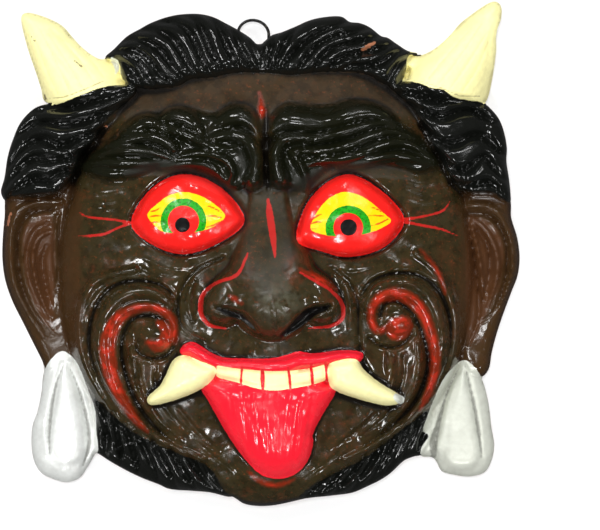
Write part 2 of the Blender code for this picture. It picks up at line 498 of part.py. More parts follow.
class Relief:
    """Heights over the points x, y, and how far each lies outside the outline (negative inside)."""

    def __init__(self, x, y):
        self.x = x
        self.y = y
        self.height = np.zeros_like(x)
        self.outside = np.full_like(x, 1e3)

    def near(self, line, reach):
        low = line[:, :2].min(0) - reach
        high = line[:, :2].max(0) + reach
        across = (self.x > low[0]) & (self.x < high[0])
        return np.flatnonzero(across & (self.y > low[1]) & (self.y < high[1]))

    def across(self, line, reach):
        """Near a line of x, y, half width and height: the points, their gap to its edge,
        their place across it (-1 to 1) and its height beside them."""
        at = self.near(line, reach)
        x, y = self.x[at], self.y[at]
        gap = np.full(at.size, 1e3)
        place = np.zeros(at.size)
        height = np.zeros(at.size)
        for start, end in zip(line, line[1:]):
            length = max(math.hypot(end[0] - start[0], end[1] - start[1]), 1e-6)
            ux, uy = (end[0] - start[0]) / length, (end[1] - start[1]) / length
            lean = min(max((end[2] - start[2]) / length, -0.9), 0.9)
            off = (y - start[1]) * ux - (x - start[0]) * uy
            t = (x - start[0]) * ux + (y - start[1]) * uy + np.abs(off) * lean / math.sqrt(1 - lean * lean)
            t = np.clip(t / length, 0, 1)
            far = np.hypot(x - start[0] - t * ux * length, y - start[1] - t * uy * length)
            width = start[2] + t * (end[2] - start[2])
            closer = far - width < gap
            gap[closer] = (far - width)[closer]
            place[closer] = (np.copysign(far, off) / width)[closer]
            height[closer] = (start[3] + t * (end[3] - start[3]))[closer]
        return at, gap, place, height

    def within(self, outline, reach):
        """Near a closed outline: the points, and how deep each lies within it."""
        at = self.near(outline, reach)
        x, y = self.x[at], self.y[at]
        far2 = np.full(at.size, 1e6)
        inside = np.zeros(at.size, bool)
        for (ax, ay), (bx, by) in zip(outline, outline[1:]):
            dx, dy = bx - ax, by - ay
            t = np.clip(((x - ax) * dx + (y - ay) * dy) / max(dx * dx + dy * dy, 1e-9), 0, 1)
            far2 = np.minimum(far2, (x - ax - t * dx) ** 2 + (y - ay - t * dy) ** 2)
            if ay != by:
                inside ^= ((ay > y) != (by > y)) & (x < ax + (y - ay) * dx / dy)
        return at, np.where(inside, 1, -1) * np.sqrt(far2)

    def raise_to(self, at, height, fillet):
        """Lifts the clay to a height where that is higher, with a fillet at the join."""
        old = self.height[at]
        blend = np.clip(fillet - np.abs(old - height), 0, None) / fillet
        self.height[at] = np.maximum(old, height) + blend * blend * fillet / 4

    def pad(self, points, ground, height, rounding, fillet=JOIN_FILLET, edge=False):
        """Raises everything within an outline above a ground, with a rounded edge.
        With edge, the outline is part of the mask's own."""
        at, depth = self.within(spline(points, closed=True), 2)
        if edge:
            self.outside[at] = np.minimum(self.outside[at], -depth)
        at, depth = at[depth > -0.05], depth[depth > -0.05]
        base = ground(self.x[at], self.y[at]) if callable(ground) else ground
        rise = half_round(1 - np.clip(depth / rounding, 0, 1))
        self.raise_to(at, base + height * rise, fillet)

    def roll(self, line, ground, fillet=JOIN_FILLET):
        """Lays a half-round roll on a ground."""
        at, gap, place, height = self.across(line, line[:, 2].max() + 3)
        at, place, height = at[gap < 0.05], place[gap < 0.05], height[gap < 0.05]
        self.raise_to(at, ground(self.x[at], self.y[at]) + height * half_round(place), fillet)

    def work(self, lines):
        """Adds ridges along lines, or cuts grooves where their height is negative."""
        for points, width, height in lines:
            section = bell if height > 0 else valley
            at, gap, place, high = self.across(stroke(points, width, height), width + 0.5)
            at, place, high = at[gap < 0], place[gap < 0], high[gap < 0]
            self.height[at] += high * section(place)

    def mound(self, centre, half, height):
        r2 = ((self.x - centre[0]) / half[0]) ** 2 + ((self.y - centre[1]) / half[1]) ** 2
        self.height += height * np.clip(1 - r2, 0, 1) ** 1.5


def add_face(relief):
    relief.pad(FACE, face_height, 0, 1, edge=True)
    for swelling in SWELLINGS:
        relief.mound(*swelling)


def add_nose(relief):
    for rows in NOSE:
        relief.roll(spline(rows), nose_height, fillet=NOSE_FILLET)
    relief.work(NOSTRILS)


def add_eyes(relief):
    for left, right, upper, lower in EYES:
        rim = spline((left, *upper, right, *reversed(lower)), closed=True)
        relief.work([(rim, *EYE_RIM_CUT)])
        top = spline((left, *upper, right))
        bottom = spline((left, *lower, right))
        at = relief.near(rim, 0)
        x, y = relief.x[at], relief.y[at]
        high = np.interp(x, top[:, 0], top[:, 1])
        low = np.interp(x, bottom[:, 0], bottom[:, 1])
        place = (2 * y - low - high) / np.maximum(high - low, 0.1)
        inside = (np.abs(place) < 1) & (x > left[0]) & (x < right[0])
        fullness = (np.maximum(high - low, 0) / 40) ** 0.7
        relief.height[at] += np.where(inside, EYE_BULGE * fullness * half_round(place), 0)


def add_cheeks(relief):
    relief.work(CHEEK_LINES)
    for rows in CHEEK_BALLS:
        relief.roll(np.array(rows), nose_height, fillet=BALL_FILLET)


def add_brows(relief):
    for outline in BROWS:
        relief.pad(outline, face_height, *BROW_PAD)
    relief.work(BROW_LINES)
    for rows in BROW_ROLLS:
        relief.roll(spline(rows), face_height, fillet=BROW_FILLET)


def add_mouth(relief):
    relief.pad(TONGUE, face_height, *TONGUE_PAD)
    relief.work([(points, *TONGUE_CUT) for points in TONGUE_LINES])
    relief.pad(TEETH, mouth_height, *TEETH_PAD)
    relief.work([(points, *TOOTH_CUT) for points in TOOTH_GAPS])
    relief.roll(spline(LIP), mouth_height, fillet=LIP_FILLET)
    for outline in TUSKS:
        relief.pad(outline, mouth_height, *TUSK_PAD)


def add_ears_and_horns(relief):
    for outline in EARS:
        relief.pad(outline, RIM, *EAR_PAD, edge=True)
    relief.work(EAR_LINES)
    for outline in EARRINGS:
        relief.pad(outline, RIM, *EARRING_PAD, edge=True)
    for outline in EARRING_DROPS:
        relief.pad(outline, RIM + DROP_RISE, *DROP_PAD)
    for outline in HORNS:
        relief.pad(outline, RIM, *HORN_PAD, edge=True)
    for rows in HORN_CONES:
        relief.roll(np.array(rows), rim_height)
    relief.work(HORN_LINES)


def add_hair(relief):
    for outline in SIDE_HAIR:
        relief.pad(outline, hair_height, *SIDE_HAIR_PAD, edge=True)
    relief.pad(CROWN, hair_height, *CROWN_PAD, edge=True)
    for outline in BEARD:
        relief.pad(outline, beard_height, *BEARD_PAD, edge=True)
    relief.work([(points, *SIDE_HAIR_CUT) for points in SIDE_PARTINGS])
    relief.work([(points, *CROWN_CUT) for points in CROWN_PARTINGS])
    relief.work([(points, *BEARD_CUT) for points in BEARD_PARTINGS])


def carve(x, y):
    """The whole relief over the given points."""
    relief = Relief(x, y)
    add_face(relief)
    add_nose(relief)
    add_cheeks(relief)
    add_eyes(relief)
    add_brows(relief)
    add_mouth(relief)
    add_ears_and_horns(relief)
    add_hair(relief)
    return relief


# ---------------------------------------------------------------------------
# The clay body
# ---------------------------------------------------------------------------

def pull_to_outline(x, y):
    """Moves points straight to the outline, by steps along the slope of the distance to it."""
    reach = 0.05
    for _ in range(4):
        here = carve(x, y).outside
        slope_x = (carve(x + reach, y).outside - carve(x - reach, y).outside) / (2 * reach)
        slope_y = (carve(x, y + reach).outside - carve(x, y - reach).outside) / (2 * reach)
        steep = np.maximum(slope_x ** 2 + slope_y ** 2, 0.25)
        x, y = x - here * slope_x / steep, y - here * slope_y / steep
    return x, y


def front_skin():
    """The front of the mask: a grid cut to the outline and raised to the relief."""
    half = GRID_STEP * math.ceil(132 / GRID_STEP)
    segments = round(2 * half / GRID_STEP)
    bm = bmesh.new()
    bmesh.ops.create_grid(bm, x_segments=segments, y_segments=segments, size=half)
    points = np.array([vertex.co[:2] for vertex in bm.verts])
    inside = carve(points[:, 0], points[:, 1]).outside < -0.3 * GRID_STEP
    outer = [f for f in bm.faces if not any(inside[v.index] for v in f.verts)]
    bmesh.ops.delete(bm, geom=outer, context="FACES")
    bm.verts.index_update()
    points = np.array([vertex.co[:2] for vertex in bm.verts])
    edge = carve(points[:, 0], points[:, 1]).outside >= -0.3 * GRID_STEP
    points[edge] = np.column_stack(pull_to_outline(points[edge, 0], points[edge, 1]))
    heights = np.maximum(carve(points[:, 0], points[:, 1]).height, RIM)
    for vertex, point, height in zip(bm.verts, points, heights):
        vertex.co = [round(float(number) * MM, 7) for number in (*point, height)]
    mesh = bpy.data.meshes.new("front_skin")
    bm.to_mesh(mesh)
    bm.free()
    return mesh


def thinned(mesh):
    """The same skin with fewer faces, most where the carving is fine."""
    skin = bpy.data.objects.new("front_skin", mesh)
    bpy.context.scene.collection.objects.link(skin)
    skin.modifiers.new("fewer_faces", "DECIMATE").ratio = KEPT_FACES
    depsgraph = bpy.context.evaluated_depsgraph_get()
    result = bpy.data.meshes.new_from_object(skin.evaluated_get(depsgraph))
    bpy.data.objects.remove(skin)
    bpy.data.meshes.remove(mesh)
    return result


def closed_with_flat_back(mesh):
    """Walls from the skin's edge down to the flat back, and the back itself."""
    bm = bmesh.new()
    bm.from_mesh(mesh)
    rim = [edge for edge in bm.edges if edge.is_boundary]
    walls = bmesh.ops.extrude_edge_only(bm, edges=rim)["geom"]
    for vertex in (item for item in walls if isinstance(item, bmesh.types.BMVert)):
        vertex.co.z = 0
    bottom = [edge for edge in bm.edges if edge.is_boundary]
    bmesh.ops.edgeloop_fill(bm, edges=bottom)
    bmesh.ops.recalc_face_normals(bm, faces=bm.faces)
    bm.to_mesh(mesh)
    bm.free()


def cutter(name, collection, kind, **shape):
    """A hidden solid that is cut out of the clay."""
    bm = bmesh.new()
    kind(bm, **shape)
    mesh = bpy.data.meshes.new(name)
    bm.to_mesh(mesh)
    bm.free()
    tool = bpy.data.objects.new(name, mesh)
    tool.hide_render = True
    tool.display_type = "WIRE"
    collection.objects.link(tool)
    return tool


def oval_cutter(name, collection, centre, half, sides):
    tool = cutter(name, collection, bmesh.ops.create_uvsphere,
                  u_segments=sides, v_segments=sides // 2, radius=1)
    for vertex in tool.data.vertices:
        vertex.co = [(centre[i] + vertex.co[i] * half[i]) * MM for i in range(3)]
    return tool


def wire_hole_cutter(name, collection, x):
    """A hole for one leg of the wire, along Y from above the crown into the hollow."""
    tool = cutter(name, collection, bmesh.ops.create_cone, cap_ends=True, segments=12,
                  radius1=HOLE_RADIUS * MM, radius2=HOLE_RADIUS * MM, depth=HOLE_LENGTH * MM)
    middle = LOOP_END + HOLE_LENGTH / 2
    for vertex in tool.data.vertices:
        vertex.co = (vertex.co.x + x * MM, middle * MM + vertex.co.z, LOOP_HEIGHT * MM - vertex.co.y)
    return tool


def material(name, colour, roughness, metallic=0.0):
    shade = bpy.data.materials.new(name)
    shade.use_nodes = True
    shader = shade.node_tree.nodes["Principled BSDF"]
    shader.inputs["Base Color"].default_value = (*colour, 1)
    shader.inputs["Roughness"].default_value = roughness
    shader.inputs["Metallic"].default_value = metallic
    return shade


def make_mask(parts, cutters):
    mesh = thinned(front_skin())
    closed_with_flat_back(mesh)
    mesh.name = "mask_body"
    mask = bpy.data.objects.new("mask_body", mesh)
    parts.objects.link(mask)
    hollow_half = (FACE_HALF[0] - HOLLOW_INSET[0], FACE_HALF[1] - HOLLOW_INSET[1], HOLLOW_TOP)
    tools = [
        oval_cutter("hollow", cutters, (*FACE_CENTRE, 0), hollow_half, 40),
        oval_cutter("nose_hollow", cutters, *NOSE_HOLLOW, 16),
        wire_hole_cutter("left_wire_hole", cutters, LOOP_CENTRE[0] - LOOP_RADIUS),
        wire_hole_cutter("right_wire_hole", cutters, LOOP_CENTRE[0] + LOOP_RADIUS),
    ]
    for tool in tools:
        cut = mask.modifiers.new(tool.name, "BOOLEAN")
        cut.operation = "DIFFERENCE"
        cut.object = tool
    mesh.materials.append(material("painted_clay", (0.035, 0.022, 0.014), 0.18))
    mesh.shade_smooth()
    mesh.set_sharp_from_angle(angle=math.radians(50))
    return mask


# ---------------------------------------------------------------------------
# The wire
# ---------------------------------------------------------------------------

def loop_path():
    """The wire's middle line: a round top, two straight legs and a flat end in the hollow."""
    straight = LOOP_RADIUS - LOOP_BEND
    turns = (
        (0, LOOP_CENTRE[1], LOOP_RADIUS, 0, math.pi, 17),
        (-straight, LOOP_END + LOOP_BEND, LOOP_BEND, math.pi, 1.5 * math.pi, 5),
        (straight, LOOP_END + LOOP_BEND, LOOP_BEND, 1.5 * math.pi, 2 * math.pi, 5),
    )
    return [
        (LOOP_CENTRE[0] + x + radius * math.cos(angle), y + radius * math.sin(angle), LOOP_HEIGHT)
        for x, y, radius, first, last, count in turns
        for angle in np.linspace(first, last, count)
    ]


def make_wire(parts):
    curve = bpy.data.curves.new("hanging_wire", "CURVE")
    curve.dimensions = "3D"
    curve.bevel_depth = WIRE_RADIUS * MM
    curve.bevel_resolution = 2
    path = loop_path()
    line = curve.splines.new("POLY")
    line.points.add(len(path) - 1)
    for point, place in zip(line.points, path):
        point.co = (*(number * MM for number in place), 1)
    line.use_cyclic_u = True
    curve.materials.append(material("blackened_wire", (0.02, 0.02, 0.02), 0.35, 0.8))
    wire = bpy.data.objects.new("hanging_wire", curve)
    parts.objects.link(wire)
    return wire


def new_collection(name):
    collection = bpy.data.collections.new(name)
    bpy.context.scene.collection.children.link(collection)
    return collection


def main():
    for old in list(bpy.data.objects):
        bpy.data.objects.remove(old)
    parts = new_collection("terracotta_wall_mask")
    cutters = new_collection("cutters")
    make_mask(parts, cutters)
    make_wire(parts)


main()
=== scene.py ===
"""Looks of the horned guardian wall mask: glossy painted clay and its wire hanging loop.

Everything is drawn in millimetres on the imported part's own frame: the mask lies on its flat
back, face up, +X to the viewer's right, +Y to the crown, +Z out of the face. The clay is
carved with the same tables as the solids, then finer: sharper partings, wrinkles, scratches.
The paint is laid on by zones, each a signed distance kept on the mesh and turned into an edge
by the material.
"""

import math

import bmesh
import bpy
import numpy as np
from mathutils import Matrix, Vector


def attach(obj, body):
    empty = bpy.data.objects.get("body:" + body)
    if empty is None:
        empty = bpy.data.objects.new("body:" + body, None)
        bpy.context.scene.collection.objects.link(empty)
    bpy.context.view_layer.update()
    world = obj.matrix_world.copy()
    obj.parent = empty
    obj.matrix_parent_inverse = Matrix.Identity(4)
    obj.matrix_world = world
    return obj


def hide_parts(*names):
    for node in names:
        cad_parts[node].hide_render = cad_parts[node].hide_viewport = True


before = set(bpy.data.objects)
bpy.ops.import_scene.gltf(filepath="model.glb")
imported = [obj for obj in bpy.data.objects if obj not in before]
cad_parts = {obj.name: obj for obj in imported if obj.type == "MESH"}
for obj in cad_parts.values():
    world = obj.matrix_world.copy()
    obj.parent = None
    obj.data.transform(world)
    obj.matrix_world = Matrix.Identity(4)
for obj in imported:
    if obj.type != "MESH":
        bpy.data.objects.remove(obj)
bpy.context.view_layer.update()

MM = 0.001

# Driving sizes, in millimetres.
FACE_CENTRE = (3.0, -9.0)
FACE_HALF = (104.0, 117.0)
HAIR_CENTRE = (-1.0, 4.0)
HAIR_HALF = (131.0, 119.0)
BEARD_HALF = (FACE_HALF[0] + 6, FACE_HALF[1] + 1)
RIM = 5.0
# Domes of clay: height at the edge and at the top, and how fast the edge turns up.
FACE_DOME = (9.0, 40.0, 0.42)
HAIR_DOME = (10.0, 35.0, 0.6)
BEARD_DOME = (8.0, 34.0, 0.6)
# Grounds that stand above the face or the rim.
MOUTH_RISE = 6.0
NOSE_RISE = 1.0
DROP_RISE = 2.0
# The hollow behind: how far its oval lies inside the face's, and its height.
HOLLOW_INSET = (12.0, 13.0)
HOLLOW_TOP = 32.0
# Its pocket behind the nose: centre and foot, half sizes and rise.
NOSE_HOLLOW = ((6.0, -12.0, 10.0), (18.0, 34.0, 31.0))
WIRE_RADIUS = 0.75
LOOP_RADIUS = 7.75
LOOP_CENTRE = (-3.5, 109.25)
LOOP_HEIGHT = 6.0

# Pads of clay: height above the ground, and width of the rounded edge.
BROW_PAD = (6, 4)
TONGUE_PAD = (12, 15)
TEETH_PAD = (5, 3)
TUSK_PAD = (9, 8)
EAR_PAD = (8, 6)
EARRING_PAD = (6, 5)
DROP_PAD = (8, 6)
HORN_PAD = (10, 8)
SIDE_HAIR_PAD = (8, 7)
CROWN_PAD = (9, 7)
BEARD_PAD = (7, 6)

# Grooves: half width, and height below the clay beside them.
EYE_RIM_CUT = (2.8, -2.8)
TONGUE_CUT = (1.5, -0.8)
TOOTH_CUT = (0.9, -2.5)
SIDE_HAIR_CUT = (4.6, -5.5)
CROWN_CUT = (3.6, -5)
BEARD_CUT = (3.2, -4.5)

# Fillets where a pad or roll meets what it lies on.
JOIN_FILLET = 0.8
LIP_FILLET = 1.5
BROW_FILLET = 1.6
NOSE_FILLET = 7
BALL_FILLET = 2


# ---------------------------------------------------------------------------
# Drawing tools: smooth lines, tapers and cross-sections
# ---------------------------------------------------------------------------

def spline(rows, closed=False, spans=5):
    """Smooth line through rows of numbers: x, y and whatever follows them."""
    knots = np.array(rows, float)
    if closed:
        knots = np.vstack([knots[-1], knots, knots[0], knots[1]])
    else:
        knots = np.vstack([2 * knots[0] - knots[1], knots, 2 * knots[-1] - knots[-2]])
    t = np.linspace(0, 1, spans, endpoint=False)[:, None]
    pieces = []
    for a, b, c, d in zip(knots, knots[1:], knots[2:], knots[3:]):
        bend = 2 * a - 5 * b + 4 * c - d + t * (3 * (b - c) + d - a)
        pieces.append(b + 0.5 * t * (c - a + t * bend))
    pieces.append(knots[-2][None])
    return np.vstack(pieces)


def ease(t):
    """Smooth step from 0 to 1."""
    t = np.clip(t, 0, 1)
    return t * t * (3 - 2 * t)


# A stroke's width at its root and tip, against its middle, and over which share of its length
# it swells and thins.
STROKE_ROOT = (0.7, 0.35)
STROKE_TIP = (0.35, 0.4)


def stroke(points, width, height):
    """Line of x, y, half width and height that swells from its root and thins to its tip."""
    (root, swelling), (tip, thinning) = STROKE_ROOT, STROKE_TIP
    line = spline(points)
    t = np.linspace(0, 1, len(line))
    swell = root + (1 - root) * ease(t / swelling)
    swell = swell * (tip + (1 - tip) * ease((1 - t) / thinning))
    return np.column_stack([line, width * swell, height * np.sqrt(swell)])


def half_round(u):
    """Section of a roll of clay, across it from -1 to 1."""
    return np.sqrt(np.clip(1 - u * u, 0, 1))


def bell(u):
    """Section of a soft ridge."""
    return np.clip(1 - u * u, 0, 1) ** 2


def valley(u):
    """Section of a groove with a sharp bottom."""
    return np.clip(1 - np.abs(u), 0, 1) ** 1.5


def oval(x, y, centre, half):
    """0 at an oval's centre and 1 on its edge, growing with the square of the way out."""
    return ((x - centre[0]) / half[0]) ** 2 + ((y - centre[1]) / half[1]) ** 2


def dome(x, y, centre, half, shape):
    """Height of a dome over an oval."""
    rim, top, power = shape
    return rim + (top - rim) * np.clip(1 - oval(x, y, centre, half), 0, 1) ** power


def face_height(x, y):
    return dome(x, y, FACE_CENTRE, FACE_HALF, FACE_DOME)


def hair_height(x, y):
    return dome(x, y, HAIR_CENTRE, HAIR_HALF, HAIR_DOME)


def beard_height(x, y):
    return dome(x, y, FACE_CENTRE, BEARD_HALF, BEARD_DOME)


def rim_height(x, y):
    return np.full_like(x, RIM)


def mouth_height(x, y):
    return face_height(x, y) + MOUTH_RISE


def nose_height(x, y):
    return face_height(x, y) + NOSE_RISE


# ---------------------------------------------------------------------------
# The carving, in millimetres: outlines of what is laid on, then the lines worked into it.
# A line is its points, its half width and its height, negative where it is cut in.
# ---------------------------------------------------------------------------

FACE = (
    (3, 105), (45, 100), (66, 90), (84, 76), (100, 52), (107, 32), (110, -9), (106, -46), (97, -62),
    (86, -80), (62, -106), (40, -118), (21, -123), (5, -126.3), (-7, -125.6), (-15, -121.2),
    (-30, -118), (-52, -108), (-76, -87), (-86, -76), (-95, -60), (-99, -50), (-106, -9),
    (-104, 34), (-95, 56), (-82, 76), (-66, 88), (-42, 99),
)
# Broad swellings of the face: centre, half sizes and height.
SWELLINGS = (
    ((5, -50), (52, 40), 6),
    ((-60, -40), (40, 46), 6),
    ((68, -36), (38, 46), 6),
    ((-45, 56), (62, 26), 4),
    ((50, 56), (62, 26), 4),
    ((5, -114), (34, 16), 4),
    ((5, 0), (34, 46), 5),
)

EARS = (
    ((-126, 31), (-128, 18), (-129, 6), (-129, -4), (-127.5, -14), (-124, -24), (-119, -34),
     (-113.5, -45), (-109, -54), (-107, -60), (-97, -58), (-89, -46), (-90, 0), (-90, 32),
     (-110, 34)),
    ((124.5, 28), (125.8, 18), (128.8, 8), (130, -2), (129, -11), (126, -19), (123, -27),
     (120.5, -34), (118, -42), (116, -50), (114.5, -58), (110, -62), (100, -60), (98, -40),
     (100, 0), (100, 28), (112, 34)),
)
EAR_LINES = (
    (((-99, 26), (-113, 25), (-123, 18), (-125.4, 2), (-123.6, -14), (-117, -28), (-108, -42)),
     3.4, 3),
    (((-104, 22), (-115, 20), (-120.6, 10), (-121, -4), (-118.6, -18), (-113, -30), (-104, -41)),
     2.4, -3.6),
    (((-105, 11), (-110.6, 8), (-113.6, 0), (-112.6, -12), (-108.6, -24), (-104.6, -32)), 2, 3.4),
    (((-106, 15), (-113, 11), (-116.8, 0), (-115.6, -13), (-110.6, -26)), 2.4, -2.6),
    (((-106.6, 4), (-109, -4), (-107.6, -14), (-104.6, -26)), 2.6, -3.4),
    (((-101.4, 19), (-102.6, 8), (-102.4, -6), (-101.6, -18)), 2, 3),
    (((104, 24), (114, 23.4), (122, 16), (126.6, 2), (125.6, -12), (120, -26)), 3.2, 3),
    (((104, 20), (112, 19.5), (118, 16), (122.5, 8), (124, -2), (122.6, -14), (117, -29),
      (110, -34.4)), 2.2, -3.6),
    (((106.6, 17), (113, 11.4), (117.4, 3), (119, -6), (117.4, -16), (113.4, -28)), 2.4, 3),
    (((108.6, 12), (113.6, 4), (115, -6), (113, -20)), 2.4, -3.4),
    (((105.6, 15), (108.6, 3), (110.6, -8), (111.6, -24)), 1.8, 3),
    (((103, 18), (105.6, 5), (108, -10), (109.6, -24), (108.6, -35), (104, -46)), 1.8, -3),
)

HORNS = (
    ((-107.8, 76.2), (-109.5, 82), (-112, 90), (-115.5, 100), (-117.8, 108), (-119.4, 115),
     (-119.2, 119.4), (-116, 120.6), (-110, 119.2), (-104, 116.8), (-98.6, 113.6), (-94.4, 108.8),
     (-90, 104), (-85, 99.8), (-80.5, 97.4), (-77, 97.4), (-74.6, 98.4), (-70.4, 97.6), (-68, 93),
     (-67, 87), (-69, 81.6), (-79, 80.4), (-91, 76.4), (-100, 74.6)),
    ((112.2, 75.4), (114.4, 79), (116, 86), (117.3, 94), (118.2, 102), (118.1, 107), (118.7, 112),
     (120.5, 117), (121, 122), (119.8, 125.2), (117, 126.2), (113, 124.6), (106, 119.8), (100, 115),
     (95.6, 109.8), (90, 104.4), (85, 101), (80, 99.2), (75, 99.4), (70.6, 97), (70.4, 90.4),
     (71, 85), (80, 83), (92, 79), (99, 76), (106, 75)),
)
# The cones of the horns, as rolls of x, y, half width and height.
HORN_CONES = (
    ((-85, 77.5, 21.6, 23), (-95, 89.6, 16.6, 19), (-109, 107, 8.6, 12.5), (-117.6, 117.6, 3, 6.5)),
    ((91, 80, 21.4, 23), (103, 98, 15.8, 18.5), (113, 113, 7.8, 12), (118.8, 122, 3, 6.5)),
)
HORN_LINES = (
    (((-108, 77.6), (-98, 78.4), (-88, 82), (-78, 86.4)), 1, -0.7),
    (((-112, 108), (-101, 96), (-93, 86)), 2.4, -0.7),
    (((-104, 112), (-93, 100), (-82, 90)), 2.2, -0.7),
    (((80, 86.4), (91, 82.6), (100, 79), (110, 78.8), (113, 86), (116, 102)), 1, -0.8),
    (((107, 81), (112.6, 88), (114.4, 100), (114.8, 108), (118, 117)), 1.2, -0.9),
    (((76, 92), (90, 101), (104, 114)), 2.2, -0.7),
)

EARRINGS = (
    ((-100, -49), (-105, -53.5), (-108.5, -60), (-109.5, -69), (-111.5, -79), (-114, -86),
     (-114.6, -95), (-113.5, -103), (-110, -109.5), (-104, -112.8), (-97, -114.6), (-90.5, -112.5),
     (-86.5, -107), (-83, -101), (-81, -98), (-82, -88), (-82.5, -78), (-85.5, -70), (-89, -60),
     (-92, -54), (-96, -50)),
    ((102, -53.5), (107.4, -57), (111.6, -64), (114.4, -75), (115.9, -87), (117.3, -96),
     (116, -103.5), (112.5, -109.5), (105, -111.7), (97, -110.8), (91, -109), (88.5, -104.5),
     (86, -102), (81, -101.5), (80.8, -97), (84.5, -91.5), (81.8, -88.5), (83.5, -82), (87, -73),
     (91, -64), (96, -57.5)),
)
EARRING_DROPS = (
    ((-98.5, -54), (-102, -62), (-104.5, -72), (-106, -82), (-107.5, -92), (-108.5, -99),
     (-104, -106), (-97, -108.5), (-90, -105.5), (-86.5, -99), (-86.5, -89), (-88, -80),
     (-90.5, -70), (-94, -61)),
    ((102, -55), (98, -62), (94, -72), (91.8, -82), (90.8, -93), (90.8, -103), (95, -108.5),
     (104, -109.5), (110, -106.5), (112.6, -99), (110, -87), (107, -74), (104.5, -62)),
)

# The hair, in three masses; the partings between its locks run from the outline to the hairline.
CROWN = (
    (-77.5, 98), (-73, 102.5), (-67, 108.5), (-60, 112.6), (-54, 115.8), (-47, 118.3),
    (-39.5, 119.8), (-31, 120), (-24, 118.6), (-17, 115.2), (-10, 111.3), (-5, 108), (-0.6, 104),
    (2, 106), (6, 109.3), (11, 110.8), (17, 113.3), (25, 116.8), (33, 118.5), (40.5, 118.7),
    (45, 116), (50, 115.4), (55, 113.3), (60.5, 109), (64, 108), (69, 104.6), (74, 101.5),
    (80.8, 99.8), (74.5, 98.6), (73.5, 92), (70, 84), (62, 84.4), (54, 89), (44, 90.6), (30, 90.4),
    (16, 89), (2, 90), (-12, 90.2), (-24, 87.6), (-34, 87), (-41, 83.5), (-52, 82), (-62, 83),
    (-69, 87), (-71, 95),
)
CROWN_PARTINGS = (
    ((-76, 99.6), (-68, 101.6), (-60.5, 100.6), (-54.5, 95), (-49.5, 89), (-43, 85)),
    ((-71, 105), (-64, 107), (-56, 105.4), (-49, 100.6), (-43.5, 93), (-37, 86.6)),
    ((-62, 111.6), (-53, 111.6), (-45.5, 108.6), (-40, 102), (-35.6, 94), (-30, 88)),
    ((-53, 116), (-44, 115.6), (-37, 112.6), (-32.6, 106), (-29, 97), (-23.4, 88.6)),
    ((-39, 119.6), (-32, 116), (-27.4, 108.6), (-24, 100), (-17, 90)),
    ((-28, 119.6), (-22, 114.6), (-18, 107), (-14, 98.6), (-9, 91)),
    ((-17, 115.4), (-12.6, 109), (-9, 102), (-5, 95), (-3, 90.4)),
    ((-8, 110.2), (-4.6, 104), (-1.6, 97), (0.4, 90.6)),
    ((-72.6, 97.6), (-67, 95), (-62.6, 90), (-59, 84)),
    ((-66, 99), (-60.6, 96), (-56, 90), (-52, 83)),
    ((0.6, 104), (1.4, 97), (2.4, 90.6)),
    ((8, 110.2), (6, 104), (5, 97), (5.4, 90.4)),
    ((20, 114.6), (14.6, 108), (10.4, 101), (8.4, 95), (7.4, 89.8)),
    ((44.6, 116.4), (35, 112.6), (26, 108), (18, 101.6), (12, 95), (9.6, 90)),
    ((55, 113), (46, 110.4), (37, 108.6), (29, 104.4), (22.6, 97), (18.4, 90)),
    ((61, 109), (53, 107), (45, 105.4), (37, 103), (30, 97), (27, 90.6)),
    ((67.6, 105), (60, 102.6), (52, 100.6), (44, 98.8), (37, 95), (34, 90.8)),
    ((73.6, 101.6), (67, 99.6), (61, 95.6), (54, 93.6), (45, 93.6), (39, 91)),
    ((75, 99), (69.6, 95), (65.6, 89), (63.6, 85)),
    ((74, 92), (70.6, 88), (68.6, 84.4)),
)
SIDE_HAIR = (
    ((-63, 84), (-72, 84.5), (-80, 83), (-90, 79.3), (-100, 75.4), (-108, 74.6), (-114, 72),
     (-120, 65.5), (-124, 56.5), (-126.5, 48), (-128, 38), (-129.8, 31), (-127.5, 26.5),
     (-124, 28.5), (-116, 28), (-108, 28.6), (-101, 29.8), (-96, 35), (-91.5, 43), (-89, 50),
     (-83, 56), (-79.5, 62), (-75, 68.5), (-68, 74), (-62, 80)),
    ((64, 84), (72, 86.5), (80, 85.3), (86, 83), (91.5, 82.3), (97, 78.5), (104, 77), (111, 76),
     (116, 72), (120, 66.8), (122.4, 60), (123.6, 53), (123.4, 46), (124.6, 38), (125.4, 30),
     (125.2, 26), (121.5, 26.8), (116, 30), (108, 30), (101, 31.5), (96.5, 35.5), (92.5, 43),
     (88.5, 50), (84.5, 58), (80.5, 66), (76, 73), (69, 79)),
)
SIDE_PARTINGS = (
    ((-64, 81), (-76, 77.6), (-88, 75), (-98, 72.6), (-108, 72), (-115, 70)),
    ((-68, 75), (-78, 69.6), (-88, 66.2), (-98, 64.6), (-108, 65.8), (-116, 63.6), (-122.4, 58)),
    ((-80, 61), (-90, 57), (-100, 53.8), (-108, 57), (-115, 56), (-121, 50), (-126, 43)),
    ((-89, 50), (-97, 47.4), (-106, 47.2), (-113, 47.8), (-119, 44), (-124, 38), (-127.4, 32)),
    ((-93, 41.6), (-100, 40.4), (-106, 36.8), (-113, 37.4), (-119, 34), (-125.6, 29)),
    ((70, 80), (79, 79.4), (88, 76.6), (96, 76), (104, 76), (111, 74)),
    ((75, 75), (81, 71), (88, 68.8), (94, 69), (99, 71), (105, 71.6), (111, 69.4), (116, 66),
     (121, 65.4)),
    ((81, 64), (88, 57), (94, 54.8), (100, 56), (105, 58.6), (111, 59), (116, 55), (120, 51),
     (123.8, 49)),
    ((88, 51), (94, 44), (99, 41.8), (105, 42.6), (109, 47), (113, 48), (117, 43), (121, 38),
     (124.8, 36)),
    ((96.4, 36), (103, 33.4), (109, 34.6), (114, 35.4), (119, 32.5), (125, 27)),
)

